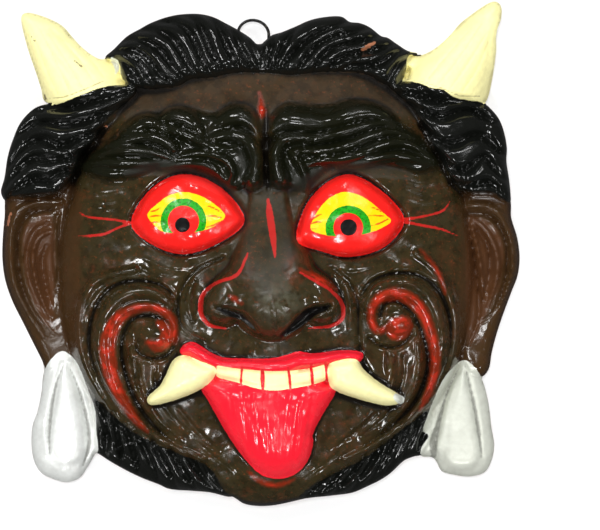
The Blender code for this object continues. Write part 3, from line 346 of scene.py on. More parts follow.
# The beard, whose locks slant from the jaw down to the rim.
BEARD = (
    ((-83.5, -72), (-83, -84), (-83.5, -97), (-79, -101.5), (-70, -107), (-60, -112), (-51, -115.5),
     (-45, -118), (-35, -118.8), (-25, -119.6), (-15, -121.8), (-19, -117), (-22, -111),
     (-28, -105), (-38, -101), (-49, -96.5), (-60, -91), (-68, -85.5), (-76, -78.5)),
    ((19, -122.4), (28, -122), (38, -121), (46.5, -119.7), (54, -116.5), (61, -113), (66, -109.4),
     (72, -103.8), (77, -101.7), (81, -100.5), (86, -94), (86, -80), (82, -79), (77, -83.5),
     (70, -88.5), (61, -96), (50, -103.5), (38, -109.5), (27, -115.5)),
)
BEARD_PARTINGS = (
    ((-79, -76), (-77, -88), (-77, -102)),
    ((-74, -80), (-71, -92), (-69.6, -106)),
    ((-68.6, -85), (-64, -97), (-60.6, -111)),
    ((-62, -90), (-56, -101), (-51, -114)),
    ((-54, -94), (-48, -105), (-41.6, -117)),
    ((-45, -98), (-39, -108), (-31.6, -118)),
    ((-36, -101.4), (-30, -110), (-22, -118.6)),
    ((-28, -105), (-24, -112), (-17.6, -119)),
    ((85, -82), (82, -91), (79, -99)),
    ((80, -82), (77, -91), (71.6, -101.6)),
    ((74, -86), (70.6, -96), (63.6, -108.6)),
    ((68, -90.6), (63, -102), (55, -113.6)),
    ((61, -96), (55, -106), (46, -118)),
    ((53, -101.6), (46, -110.6), (36.6, -120)),
    ((44.6, -106.4), (37, -114), (28, -121)),
    ((36, -110.6), (29, -117), (22, -121.4)),
)

BROWS = (
    ((-3, 60), (-4, 68), (-8, 74), (-14, 75), (-18.6, 72), (-23, 70), (-28, 70.6), (-34, 72.6),
     (-42, 72.6), (-48, 70.4), (-54, 69.6), (-60, 68), (-65, 64), (-70, 60), (-76, 56), (-84, 51),
     (-90, 46), (-91, 42), (-85, 39), (-74, 36.6), (-62, 38), (-52, 41), (-40, 42.6), (-28, 40),
     (-20, 36.4), (-15, 32), (-11, 31.6), (-7, 33.4), (-2, 32), (1, 36), (0, 48)),
    ((6, 62), (6, 68), (9, 72.6), (14, 75), (22, 74.6), (30, 74), (36, 74.6), (44, 77), (54, 76),
     (62, 73), (67, 69.6), (72, 64), (80, 59), (86, 52), (90, 45), (86, 41.6), (78, 40), (68, 42.6),
     (58, 43.6), (48, 43.8), (38, 43.4), (32, 40), (26, 35), (21, 31.6), (16, 32.4), (9, 31),
     (5, 35), (5, 48)),
)
# Rolls of clay on the brows: x, y, half width and height above the face.
BROW_ROLLS = (
    # Left: the fold over the nose with its knob, the lump above it, and the folds that leave it.
    ((-29, 56, 1.6, 6.4), (-19, 58.6, 3.8, 10), (-11, 58.8, 4.8, 12.5), (-5, 54.6, 4.8, 13.5),
     (-2.2, 47.6, 4.4, 13.5), (-2.2, 41.6, 4.4, 14), (-3, 37, 5.2, 16), (-3.2, 36, 5, 16)),
    ((-24, 63.4, 1.6, 6), (-17, 67, 5, 9.6), (-9, 68.6, 6, 11), (-3, 63.4, 3, 8.6),
     (-0.6, 57, 1.4, 6)),
    ((-51, 64.6, 1.6, 7), (-43, 61.6, 3.2, 11), (-33, 57.4, 3.8, 11.5), (-23, 53, 3.2, 10.4),
     (-13, 51.4, 1.6, 7)),
    ((-43, 47.6, 1.4, 6.6), (-34, 49.6, 2.8, 9.6), (-24, 49.2, 3.4, 10.6), (-16, 45.4, 3, 10.6),
     (-13.4, 39.6, 2.2, 10), (-15, 33.4, 1.2, 6)),
    ((-50, 43, 1.4, 6), (-38, 44.8, 2.6, 9), (-28, 44.4, 2.8, 9.4), (-21, 40.6, 2.2, 8.6),
     (-18, 36.6, 1.2, 6)),
    # Left: the lumps and curls of its outer part.
    ((-50, 66, 1.6, 7), (-44, 68.4, 4.6, 10.6), (-37, 67.4, 5.2, 11.5), (-31.4, 63, 4, 10.4),
     (-28, 58, 1.6, 7)),
    ((-71, 58, 1.6, 6.4), (-63, 62.6, 4.2, 10.4), (-56, 65.4, 4.8, 11.5), (-50, 63.4, 3.6, 10.6),
     (-45, 60, 1.6, 8)),
    ((-80, 52.6, 1.4, 6.4), (-69, 56, 3.4, 10), (-59, 58.4, 4, 11.5), (-51, 57.4, 4.2, 12.4),
     (-44.6, 54, 4, 13), (-42.8, 52, 3.4, 12.5)),
    ((-85, 48.4, 1.4, 6), (-73, 51, 3.4, 10), (-61, 51.4, 3.8, 10.8), (-50, 49.6, 2.6, 9.6),
     (-42, 46.6, 1.2, 7)),
    ((-91, 44, 1.4, 6), (-80, 45.4, 3.2, 9.4), (-67, 45, 3.4, 10), (-55, 45, 2.4, 9),
     (-46, 45.6, 1.2, 6)),
    # Right, in the same order.
    ((31, 57.4, 1.6, 8), (19, 57.6, 3.4, 11), (11.6, 56.2, 4, 12.5), (8.2, 50, 4.4, 13.5),
     (8.4, 43.6, 4.4, 14), (10, 37.6, 5.2, 16), (10.4, 36.8, 5, 16)),
    ((5.4, 60, 1.6, 7), (12, 66.4, 6, 10.8), (23, 66, 6, 11.6), (33, 65.4, 5.2, 11),
     (43, 68.6, 6, 12), (53, 70.8, 5.4, 11.6), (62, 68.8, 3.6, 10), (67, 64.6, 1.6, 6)),
    ((18, 57, 1.4, 7), (27, 57, 3, 10.8), (39, 59.6, 3.4, 11.5), (50, 62.8, 3.4, 11),
     (60, 65, 2.4, 9.6), (68, 63.6, 1.2, 6)),
    ((15, 51, 1.4, 7), (24, 51, 2.8, 10.6), (35, 51.4, 3.4, 11.5), (46, 54.4, 3.6, 11.5),
     (56, 58.6, 3.4, 11), (66, 60.6, 2.6, 10), (77, 57.4, 1.2, 6)),
    ((13.4, 52.4, 1.2, 7), (18, 47.4, 2.4, 11), (21.6, 41.6, 2.6, 11.5), (23, 36, 2, 9.6),
     (22.6, 31.6, 1.2, 6)),
    ((21.6, 43.4, 1.4, 7), (30, 46.4, 2.8, 10.6), (41, 47, 3.4, 11), (51, 49.6, 3.6, 11.5),
     (61, 54, 3.6, 11.5), (71, 55.4, 3.2, 10.6), (80, 52, 2.4, 9.6), (88, 45.6, 1.2, 6)),
    ((38, 43.6, 1.2, 6), (52, 45.6, 2.8, 9), (65, 48.6, 3.2, 10.4), (76, 47.4, 2.8, 10),
     (88, 43.4, 1.2, 6)),
)
# The furrow between the brows.
BROW_LINES = (
    (((3, 72), (3.4, 56), (3, 44), (4.6, 31)), 2.2, -4),
)

# Eyes: corner, corner, then the upper and lower lid edges between them.
EYES = (
    ((-64.3, 15.3), (-7.6, 16.8),
     ((-54.5, 32), (-38, 39.6), (-19.5, 33)), ((-54, 4.6), (-37.5, -0.4), (-19, 6))),
    ((18.2, 7.2), (72, 16.6),
     ((25.5, 28), (43, 39.5), (61, 31)), ((30, 1.4), (44.5, -1.8), (62, 3.2))),
)
EYE_BULGE = 11.0
# The lids' distance at which the eye bulges fully, and how the bulge dies with it.
EYE_OPEN = 40
EYE_NARROWING = 0.7

# The nose, as rolls of x, y, half width and height: its ridge, flanks and wings.
NOSE = (
    ((4, 38, 8.5, 2), (4.4, 22, 10, 6), (5, 8, 13, 10), (5.6, -4, 18, 13.4), (6, -13, 22, 16),
     (6.4, -21, 21.6, 18), (7, -27, 16.4, 19.6)),
    ((-4, 2, 6, 5), (-9, -11, 8, 9), (-15, -20, 10, 12), (-18.6, -26, 10.6, 12.6)),
    ((14, 2, 6, 5), (20, -11, 8, 9), (27, -19.6, 10, 12), (30.6, -25.8, 10.8, 12.6)),
)
NOSTRILS = (
    (((-22.6, -26.6), (-15, -28.6), (-7, -32.4), (-1, -38.6)), 2.4, -4.4),
    (((34.6, -26.2), (26.6, -28.6), (20, -33.6), (12, -40.4)), 3.4, -8),
)

# The volutes of the cheeks and the lines that run on from them to the chin.
CHEEK_LINES = (
    # Left: the mound round the volute, the jaw ridge, the painted band and the furrow inside it.
    (((-44, -26), (-50, -20.6), (-60, -18.6), (-71, -22.6), (-79, -34), (-80.6, -50), (-74, -68),
      (-61, -84), (-44, -96), (-28, -103)), 5.6, 4.6),
    (((-62, -8), (-74, -10.4), (-84, -15.6), (-90, -28), (-90.6, -44), (-85.6, -61), (-74, -79),
      (-58, -93), (-40, -104)), 4, 3.4),
    (((-43, -21), (-50, -15.4), (-62, -13.6), (-74, -17), (-82.6, -28), (-85, -46), (-78, -66),
      (-64, -84)), 2, -3.6),
    (((-43.6, -44), (-42.6, -36), (-46, -30), (-53, -26.4), (-62, -26.8), (-70, -31), (-75, -41),
      (-74.4, -54), (-69.6, -69), (-60, -84), (-47, -96)), 3.4, 3),
    (((-47, -34), (-54, -31.2), (-63, -32.6), (-68.4, -42), (-68, -56), (-61.6, -74), (-50, -89),
      (-36, -100)), 2.2, -4.6),
    (((-62, -41), (-61, -48.6), (-54, -52.4), (-46, -50.6), (-41, -43)), 2, -4),
    (((-65.4, -46), (-64.6, -60), (-58, -75), (-46, -89)), 1.8, 3),
    (((-60, -54), (-58.6, -68), (-51, -82), (-38, -94)), 1.5, 2.4),
    (((-62.4, -52), (-61.4, -66), (-54, -79.6), (-42, -92)), 1.4, -2),
    (((-52, -54), (-52, -66), (-45, -80), (-32, -92)), 1.4, -2),
    (((-41, -77), (-31, -89), (-20, -99)), 1.5, -2),
    # Right, in the same order.
    (((53, -26), (57, -18.6), (66, -14.4), (77, -15.4), (86, -23), (91, -37), (91, -52), (86, -68),
      (75, -83), (58, -95), (42, -103)), 5.4, 4.6),
    (((78, 0), (88, -8), (95.6, -22), (98.4, -38), (96.6, -53), (91, -66), (83, -77)), 4, 3.4),
    (((50, -21), (56, -13.6), (67, -10), (79, -11), (89, -18.6), (95, -33), (94.6, -51),
      (88.6, -67)), 2, -3.6),
    (((63.6, -35), (59.4, -38.6), (55.6, -33), (56.6, -26), (63, -20.4), (73, -20.4), (81, -27),
      (86, -40), (87, -55), (82, -71), (71, -86)), 3.2, 3),
    (((60, -31), (62.6, -25), (69.4, -24.4), (77, -32), (82.6, -45), (83.6, -58), (78, -73),
      (66, -86), (52, -96)), 2.1, -4.6),
    (((54, -41.6), (60, -46), (69, -46.2), (75, -41.4), (77, -35)), 2, -4),
    (((79, -44), (79, -60), (73, -75), (60, -88)), 1.8, 3),
    (((72, -50), (71, -64), (64, -80), (50, -92)), 1.5, -2),
    (((66.6, -51), (66.8, -62), (64, -70)), 1.6, 2.2),
    (((63.4, -49), (63.4, -60)), 1.4, -2),
    (((58, -80), (48, -89), (36, -98)), 1.5, -2),
    # The creases from the nose to the corners of the mouth.
    (((-18, -2), (-30, -7.6), (-38, -16), (-41, -27), (-37.6, -38), (-27, -44)), 2, -3),
    (((36, -7.6), (44, -14), (48.6, -24), (49, -38), (51, -51), (55, -59)), 2, -3),
    (((-33, -14), (-35.6, -24), (-33, -34)), 2.4, 2),
    (((42, -15), (45, -26), (44.6, -38)), 2.4, 2),
)
CHEEK_BALLS = (
    ((-55, -41, 9, 8), (-52, -41, 9, 8)),
    ((68.6, -35, 7, 8), (70.6, -34.4, 7, 8)),
)

# The mouth.
LIP = (
    (-38.8, -48.8, 1.8, 5), (-34, -48, 3.2, 6.6), (-26.5, -52.6, 3.4, 7), (-18, -55.6, 3, 7),
    (-8, -55.6, 3, 7), (2, -56.6, 3.6, 7.4), (12, -56.2, 3.8, 7.4), (20, -53.8, 3.8, 7.2),
    (28, -53.6, 3.2, 7), (37, -51.8, 2.7, 6.5), (44, -51.2, 2.5, 6), (49.6, -51.6, 1.9, 5),
)
TEETH = (
    (-22, -56), (-10, -57.4), (8, -58.6), (24, -57.4), (33.4, -55.4), (34, -62), (27, -65),
    (16, -67.2), (7, -68.2), (-2, -67), (-12, -64), (-21.6, -61.2),
)
TOOTH_GAPS = (
    ((-8.6, -56), (-9.4, -65.6)),
    ((1.2, -57), (1.6, -68.4)),
    ((13.6, -57), (15.4, -68.4)),
    ((25, -56), (26.4, -66.4)),
    ((31.6, -55), (33, -64)),
)
TUSKS = (
    ((-38, -50.6), (-30, -53.4), (-22, -57), (-23, -62), (-29, -67.4), (-38, -71.6), (-46, -74.2),
     (-53, -75.6), (-56, -74.4), (-55.4, -71), (-50, -66), (-46.6, -60), (-43.4, -53.4)),
    ((34, -56), (38, -53.6), (44, -52.4), (48.6, -53.2), (52, -58), (57, -62.4), (63, -66.4),
     (69, -70), (70.6, -72.6), (69, -75), (63, -75.8), (55, -74.2), (46, -71.6), (39, -69),
     (34.6, -65.4)),
)
TONGUE = (
    (-22, -60), (-29, -67), (-26, -73), (-21, -82), (-16.4, -90), (-11, -98), (-5, -105.4),
    (1, -110.6), (8, -112.4), (15, -111.4), (21, -107.4), (25, -101), (26.6, -94), (26.6, -89.6),
    (32, -79), (37.4, -70), (37, -65.6), (31, -63), (20, -60),
)
TONGUE_LINES = tuple(
    ((6 + side, -70), (6 + 0.86 * side, -88), (7 + 0.66 * side, -105)) for side in range(-21, 22, 6)
)


# ---------------------------------------------------------------------------
# The relief: heights over points of the drawing
# ---------------------------------------------------------------------------

class Relief:
    """Heights over the points x, y, and how far each lies outside the outline (negative inside)."""

    def __init__(self, x, y):
        self.x = x
        self.y = y
        self.height = np.zeros_like(x)
        self.outside = np.full_like(x, 1e3)

    def near(self, line, reach):
        low = line[:, :2].min(0) - reach
        high = line[:, :2].max(0) + reach
        across = (self.x > low[0]) & (self.x < high[0])
        return np.flatnonzero(across & (self.y > low[1]) & (self.y < high[1]))

    def across(self, line, reach):
        """Near a line of x, y, half width and height: the points, their gap to its edge,
        their place across it (-1 to 1) and its height beside them."""
        at = self.near(line, reach)
        x, y = self.x[at], self.y[at]
        gap = np.full(at.size, 1e3)
        place = np.zeros(at.size)
        height = np.zeros(at.size)
        for start, end in zip(line, line[1:]):
            length = max(math.hypot(end[0] - start[0], end[1] - start[1]), 1e-6)
            ux, uy = (end[0] - start[0]) / length, (end[1] - start[1]) / length
            lean = min(max((end[2] - start[2]) / length, -0.9), 0.9)
            off = (y - start[1]) * ux - (x - start[0]) * uy
            t = (x - start[0]) * ux + (y - start[1]) * uy
            t = t + np.abs(off) * lean / math.sqrt(1 - lean * lean)
            t = np.clip(t / length, 0, 1)
            far = np.hypot(x - start[0] - t * ux * length, y - start[1] - t * uy * length)
            width = start[2] + t * (end[2] - start[2])
            closer = far - width < gap
            gap[closer] = (far - width)[closer]
            place[closer] = (np.copysign(far, off) / width)[closer]
            height[closer] = (start[3] + t * (end[3] - start[3]))[closer]
        return at, gap, place, height

    def within(self, outline, reach):
        """Near a closed outline: the points, and how deep each lies within it."""
        at = self.near(outline, reach)
        x, y = self.x[at], self.y[at]
        far2 = np.full(at.size, 1e6)
        inside = np.zeros(at.size, bool)
        for (ax, ay), (bx, by) in zip(outline, outline[1:]):
            dx, dy = bx - ax, by - ay
            t = np.clip(((x - ax) * dx + (y - ay) * dy) / max(dx * dx + dy * dy, 1e-9), 0, 1)
            far2 = np.minimum(far2, (x - ax - t * dx) ** 2 + (y - ay - t * dy) ** 2)
            if ay != by:
                inside ^= ((ay > y) != (by > y)) & (x < ax + (y - ay) * dx / dy)
        return at, np.where(inside, 1, -1) * np.sqrt(far2)

    def raise_to(self, at, height, fillet):
        """Lifts the clay to a height where that is higher, with a fillet at the join."""
        old = self.height[at]
        blend = np.clip(fillet - np.abs(old - height), 0, None) / fillet
        self.height[at] = np.maximum(old, height) + blend * blend * fillet / 4

    def pad(self, points, ground, height, rounding, fillet=JOIN_FILLET, edge=False):
        """Raises everything within an outline above a ground, with a rounded edge.
        With edge, the outline is part of the mask's own."""
        at, depth = self.within(spline(points, closed=True), 2)
        if edge:
            self.outside[at] = np.minimum(self.outside[at], -depth)
        at, depth = at[depth > -0.05], depth[depth > -0.05]
        base = ground(self.x[at], self.y[at]) if callable(ground) else ground
        rise = half_round(1 - np.clip(depth / rounding, 0, 1))
        self.raise_to(at, base + height * rise, fillet)

    def roll(self, line, ground, fillet=JOIN_FILLET):
        """Lays a half-round roll on a ground."""
        at, gap, place, height = self.across(line, line[:, 2].max() + 3)
        at, place, height = at[gap < 0.05], place[gap < 0.05], height[gap < 0.05]
        self.raise_to(at, ground(self.x[at], self.y[at]) + height * half_round(place), fillet)

    def work(self, lines):
        """Adds ridges along lines, or cuts grooves where their height is negative."""
        for points, width, height in lines:
            section = bell if height > 0 else valley
            at, gap, place, high = self.across(stroke(points, width, height), width + 0.5)
            at, place, high = at[gap < 0], place[gap < 0], high[gap < 0]
            self.height[at] += high * section(place)

    def mound(self, centre, half, height):
        """A broad swelling of what is there."""
        self.height += height * np.clip(1 - oval(self.x, self.y, centre, half), 0, 1) ** 1.5


def add_face(relief):
    relief.pad(FACE, face_height, 0, 1, edge=True)
    for swelling in SWELLINGS:
        relief.mound(*swelling)


def add_nose(relief):
    for rows in NOSE:
        relief.roll(spline(rows), nose_height, fillet=NOSE_FILLET)
    relief.work(NOSTRILS)


def add_eyes(relief):
    for left, right, upper, lower in EYES:
        rim = spline((left, *upper, right, *reversed(lower)), closed=True)
        relief.work([(rim, *EYE_RIM_CUT)])
        top = spline((left, *upper, right))
        bottom = spline((left, *lower, right))
        at = relief.near(rim, 0)
        x, y = relief.x[at], relief.y[at]
        high = np.interp(x, top[:, 0], top[:, 1])
        low = np.interp(x, bottom[:, 0], bottom[:, 1])
        place = (2 * y - low - high) / np.maximum(high - low, 0.1)
        inside = (np.abs(place) < 1) & (x > left[0]) & (x < right[0])
        fullness = (np.maximum(high - low, 0) / EYE_OPEN) ** EYE_NARROWING
        relief.height[at] += np.where(inside, EYE_BULGE * fullness * half_round(place), 0)


def add_cheeks(relief):
    relief.work(CHEEK_LINES)
    for rows in CHEEK_BALLS:
        relief.roll(np.array(rows), nose_height, fillet=BALL_FILLET)


def add_brows(relief):
    for outline in BROWS:
        relief.pad(outline, face_height, *BROW_PAD)
    relief.work(BROW_LINES)
    for rows in BROW_ROLLS:
        relief.roll(spline(rows), face_height, fillet=BROW_FILLET)


def add_mouth(relief):
    relief.pad(TONGUE, face_height, *TONGUE_PAD)
    relief.work([(points, *TONGUE_CUT) for points in TONGUE_LINES])
    relief.pad(TEETH, mouth_height, *TEETH_PAD)
    relief.work([(points, *TOOTH_CUT) for points in TOOTH_GAPS])
    relief.roll(spline(LIP), mouth_height, fillet=LIP_FILLET)
    for outline in TUSKS:
        relief.pad(outline, mouth_height, *TUSK_PAD)


def add_ears_and_horns(relief):
    for outline in EARS:
        relief.pad(outline, RIM, *EAR_PAD, edge=True)
    relief.work(EAR_LINES)
    for outline in EARRINGS:
        relief.pad(outline, RIM, *EARRING_PAD, edge=True)
    for outline in EARRING_DROPS:
        relief.pad(outline, RIM + DROP_RISE, *DROP_PAD)
    for outline in HORNS:
        relief.pad(outline, RIM, *HORN_PAD, edge=True)
    for rows in HORN_CONES:
        relief.roll(np.array(rows), rim_height)
    relief.work(HORN_LINES)


def add_hair(relief):
    for outline in SIDE_HAIR:
        relief.pad(outline, hair_height, *SIDE_HAIR_PAD, edge=True)
    relief.pad(CROWN, hair_height, *CROWN_PAD, edge=True)
    for outline in BEARD:
        relief.pad(outline, beard_height, *BEARD_PAD, edge=True)
    relief.work([(points, *SIDE_HAIR_CUT) for points in SIDE_PARTINGS])
    relief.work([(points, *CROWN_CUT) for points in CROWN_PARTINGS])
    relief.work([(points, *BEARD_CUT) for points in BEARD_PARTINGS])


def carve(x, y):
    """The whole relief over the given points."""
    relief = Relief(x, y)
    add_face(relief)
    add_nose(relief)
    add_cheeks(relief)
    add_eyes(relief)
    add_brows(relief)
    add_mouth(relief)
    add_ears_and_horns(relief)
    add_hair(relief)
    return relief


# ---------------------------------------------------------------------------
# Finer carving, in millimetres
# ---------------------------------------------------------------------------

# Cuts: half width, and height below the clay beside them.
PARTING_CUT = (1.6, -1.1)
WRINKLE_CUT = (1.2, -0.7)
TONGUE_SCRATCH_CUT = (0.5, -0.45)
HORN_SCRATCH_CUT = (1.2, -0.8)
WRINKLES = (
    # Beside the left eye, then the right.
    ((-70, 38.6), (-78, 36.8), (-84, 38)),
    ((-74, 34.6), (-82, 33.6), (-88, 36)),
    ((-68, 31.6), (-78, 29.8), (-88, 31)),
    ((-70, 26.6), (-80, 25.4), (-90, 26.6)),
    ((-72, 22.6), (-81, 22), (-90, 24)),
    ((70, 38), (80, 34.6), (90, 35.6)),
    ((73, 33), (82, 30), (91, 31)),
    ((74, 27.6), (83, 25.4), (93, 27)),
    # Under the eyes.
    ((-58, -2), (-46, -8), (-32, -9)),
    ((-60, -6.6), (-50, -11.6), (-40, -12.6)),
    ((34, -7), (46, -9.6), (60, -6.6)),
    # Across the nose's bridge.
    ((-3, 24), (4, 22.6), (11, 24)),
    ((-4, 18.6), (4, 17), (12, 18.6)),
    # Upper lip and chin.
    ((-14, -44), (-15.6, -48.6)),
    ((-2, -45), (-2.6, -50)),
    ((10, -45), (10.6, -50)),
    ((23, -43.6), (25, -48.6)),
    ((-34, -92), (-20, -104), (-8, -114)),
    ((46, -92), (34, -104), (20, -114)),
)
TONGUE_SCRATCHES = tuple(
    ((6 + side, -70), (6.4 + 0.9 * side, -80), (7 + 0.8 * side, -92)) for side in range(-19, 23, 3)
)
HORN_SCRATCHES = (
    ((-106, 79), (-111, 92), (-116, 110)),
    ((-101, 79.6), (-107, 93), (-114.6, 113)),
    ((-95, 81), (-101, 94), (-110, 112)),
    ((-89, 83), (-96, 95), (-106, 110)),
    ((-83, 85.6), (-90, 96), (-100, 108)),
    ((-78, 88), (-84, 96), (-92, 104)),
    ((84, 87), (92, 97), (106, 113)),
    ((89, 84.6), (98, 96), (111, 115)),
    ((95, 82.6), (103, 94), (113, 110)),
    ((101, 81), (108, 92), (115, 108)),
)
# A broad swelling over each earring, and the grooves on both sides of it.
EARRING_DOME = (9.8, 15)
EARRING_GROOVES = (
    (((-99, -55), (-102.2, -66), (-104.4, -78), (-105.8, -90), (-105.6, -100)), 2.6, -2.6),
    (((-95, -57), (-91, -68), (-88, -80), (-86.2, -90), (-86, -99), (-89, -107)), 2.2, -3.2),
    (((102.6, -56), (105, -66), (107.4, -77), (109.4, -89), (111, -102)), 2.4, -2.4),
    (((99.6, -57.6), (94.6, -67), (91.2, -78), (89.2, -88), (87.6, -96), (88.4, -103)), 2.4, -4),
)
# Slow waves: height, then how fast it changes along X and Y, and how far it is bent.
HAND_WAVES = (
    (0.20, 0.17, 0.21, 1.9),
    (0.08, 0.47, 0.39, 1.1),
    (0.04, 0.93, 1.07, 0.8),
)


def hand_unevenness(x, y):
    """The waves that fingers leave in clay."""
    return sum(
        height * np.sin(along * x + bend * np.sin(up * y))
        * np.sin(up * y + bend * np.cos(along * x))
        for height, along, up, bend in HAND_WAVES
    )


def carve_finely(x, y):
    """The whole relief with its finest lines."""
    relief = carve(x, y)
    for outline in EARRINGS:
        relief.pad(outline, RIM, *EARRING_DOME)
    relief.work(EARRING_GROOVES)
    partings = CROWN_PARTINGS + SIDE_PARTINGS + BEARD_PARTINGS
    relief.work([(line, *PARTING_CUT) for line in partings])
    relief.work([(line, *WRINKLE_CUT) for line in WRINKLES])
    relief.work([(line, *TONGUE_SCRATCH_CUT) for line in TONGUE_SCRATCHES])
    relief.work([(line, *HORN_SCRATCH_CUT) for line in HORN_SCRATCHES])
    relief.height += hand_unevenness(x, y)
    relief.height = np.maximum(relief.height, RIM)
    return relief


# ---------------------------------------------------------------------------
# The clay body
# ---------------------------------------------------------------------------

# The front's square grid. Points that lie nearer to the outline than EDGE_GAP go onto it.
GRID_STEP = 0.8
GRID_HALF = 132.5
EDGE_GAP = 0.3 * GRID_STEP
# How often its cliffs are rounded, and the slope from which they are.
SOFT_PASSES = 4
STEEP = 0.5
# Steps towards the outline, how far off the points are that show the way, and the least
# square of the slope between them.
PULLS = 4
PROBE = 0.05
LEAST_SLOPE2 = 0.25
# Heights of the wall's rings, as shares of the edge's height.
WALL_LEVELS = (1.0, 0.62, 0.28, 0.0)
# The hollow's uneven ceiling: its waves against the front's, and the height where they fade.
HOLLOW_WAVES = (0.5, 1.7)
HOLLOW_FADE = 6
HOLLOW_HALF = (FACE_HALF[0] - HOLLOW_INSET[0], FACE_HALF[1] - HOLLOW_INSET[1])
HOLLOW_SIDES = 144
HOLLOW_RINGS = 40


def pull_to_outline(x, y):
    """Moves points straight to the outline; also gives the way out of it at each."""
    for _ in range(PULLS):
        here = carve(x, y).outside
        slope_x = (carve(x + PROBE, y).outside - carve(x - PROBE, y).outside) / (2 * PROBE)
        slope_y = (carve(x, y + PROBE).outside - carve(x, y - PROBE).outside) / (2 * PROBE)
        steep = np.maximum(slope_x ** 2 + slope_y ** 2, LEAST_SLOPE2)
        x, y = x - here * slope_x / steep, y - here * slope_y / steep
    return x, y, slope_x / np.sqrt(steep), slope_y / np.sqrt(steep)


def blurred(plane):
    for axis in (0, 1):
        plane = (np.roll(plane, 1, axis) + 2 * plane + np.roll(plane, -1, axis)) / 4
    return plane


def softened(height):
    """The heights with their cliffs a little rounded, so that they don't step along the grid."""
    for _ in range(SOFT_PASSES):
        slope = np.hypot(*np.gradient(height, GRID_STEP / 2))
        height = height + ease(slope - STEEP) * (blurred(height) - height)
    return blurred(height)


def sampled(plane, steps, x, y):
    """The value of a plane of numbers, one for each step along Y and X, between its steps."""
    size = steps[1] - steps[0]
    column = np.clip((x - steps[0]) / size, 0, len(steps) - 1.001)
    row = np.clip((y - steps[0]) / size, 0, len(steps) - 1.001)
    i, j = row.astype(int), column.astype(int)
    u, v = row - i, column - j
    low = plane[i, j] * (1 - v) + plane[i, j + 1] * v
    high = plane[i + 1, j] * (1 - v) + plane[i + 1, j + 1] * v
    return low * (1 - u) + high * u


def front_grid():
    """Points and square faces of the front, cut to the outline."""
    halves = np.arange(-GRID_HALF, GRID_HALF, GRID_STEP / 2)
    x, y = np.meshgrid(halves, halves)
    relief = carve_finely(x.ravel(), y.ravel())
    height = softened(relief.height.reshape(x.shape))
    steps = halves[::2]
    size = len(steps)
    x, y, height = (plane[::2, ::2] for plane in (x, y, height))
    inside = relief.outside.reshape(halves.size, halves.size)[::2, ::2].ravel() < -EDGE_GAP
    x, y = x.ravel(), y.ravel()
    corner = (np.arange(size - 1)[:, None] * size + np.arange(size - 1)).ravel()
    faces = np.column_stack([corner, corner + 1, corner + 1 + size, corner + size])
    faces = faces[inside[faces].any(1)]
    used, faces = np.unique(faces, return_inverse=True)
    x, y, inside = x[used], y[used], inside[used]
    x[~inside], y[~inside], *_ = pull_to_outline(x[~inside], y[~inside])
    return np.column_stack([x, y, sampled(height, steps, x, y)]), faces.reshape(-1, 4)


def hollow_height(x, y):
    """The hollow's ceiling: a wide oval dome and a deeper pocket behind the nose."""
    wide = HOLLOW_TOP * np.sqrt(np.clip(1 - oval(x, y, FACE_CENTRE, HOLLOW_HALF), 0, 1))
    (*centre, foot), (*half, rise) = NOSE_HOLLOW
    r2 = oval(x, y, centre, half)
    deep = foot * (r2 < 1) + rise * np.sqrt(np.clip(1 - r2, 0, 1))
    ceiling = np.maximum(wide, deep)
    share, rate = HOLLOW_WAVES
    return ceiling + share * hand_unevenness(rate * x, rate * y) * ease(ceiling / HOLLOW_FADE)


def add_hollow(bm):
    """The hollow's ceiling, as rings from its centre to its rim. Gives its edge at the back."""
    layers = []
    turn = 2 * math.pi * np.arange(HOLLOW_SIDES) / HOLLOW_SIDES
    for ring in range(HOLLOW_RINGS):
        share = math.sin(0.5 * math.pi * (ring + 1) / HOLLOW_RINGS)
        x = FACE_CENTRE[0] + share * HOLLOW_HALF[0] * np.cos(turn)
        y = FACE_CENTRE[1] + share * HOLLOW_HALF[1] * np.sin(turn)
        z = hollow_height(x, y) if ring < HOLLOW_RINGS - 1 else np.zeros_like(x)
        layers.append([bm.verts.new(point) for point in zip(x, y, z)])
    top = bm.verts.new((*FACE_CENTRE, hollow_height(*np.array(FACE_CENTRE))))
    for i in range(HOLLOW_SIDES):
        j = (i + 1) % HOLLOW_SIDES
        bm.faces.new((top, layers[0][j], layers[0][i]))
        for inner, outer in zip(layers, layers[1:]):
            bm.faces.new((inner[i], inner[j], outer[j], outer[i]))
    return [bm.edges.get((layers[-1][i], layers[-1][i - 1])) for i in range(HOLLOW_SIDES)]


def add_walls(bm):
    """Walls from the front's edge down to the back, in rounded steps. Gives their lower edge."""
    depth = bm.verts.layers.float.new("wall")
    edge = [item for item in bm.edges if item.is_boundary]
    for above, below in zip(WALL_LEVELS, WALL_LEVELS[1:]):
        grown = bmesh.ops.extrude_edge_only(bm, edges=edge)["geom"]
        for vertex in (item for item in grown if isinstance(item, bmesh.types.BMVert)):
            vertex.co.z *= below / above
            vertex[depth] = 1 - below
        edge = [item for item in grown if isinstance(item, bmesh.types.BMEdge) and item.is_boundary]
    return edge


def mask_mesh():
    """The closed clay body, in millimetres: faces of the back have material 1."""
    points, faces = front_grid()
    mesh = bpy.data.meshes.new("mask")
    mesh.from_pydata(points, [], faces)
    bm = bmesh.new()
    bm.from_mesh(mesh)
    lower = add_walls(bm)
    front = len(bm.faces)
    inner = add_hollow(bm)
    bmesh.ops.triangle_fill(bm, edges=lower + inner, use_beauty=True, use_dissolve=False)
    bm.faces.ensure_lookup_table()
    for face in bm.faces[front:]:
        face.material_index = 1
    bmesh.ops.recalc_face_normals(bm, faces=bm.faces)
    bm.to_mesh(mesh)
    bm.free()
    return mesh


# ---------------------------------------------------------------------------
# The paint, in millimetres: outlines, and lines of x, y and half width
# ---------------------------------------------------------------------------

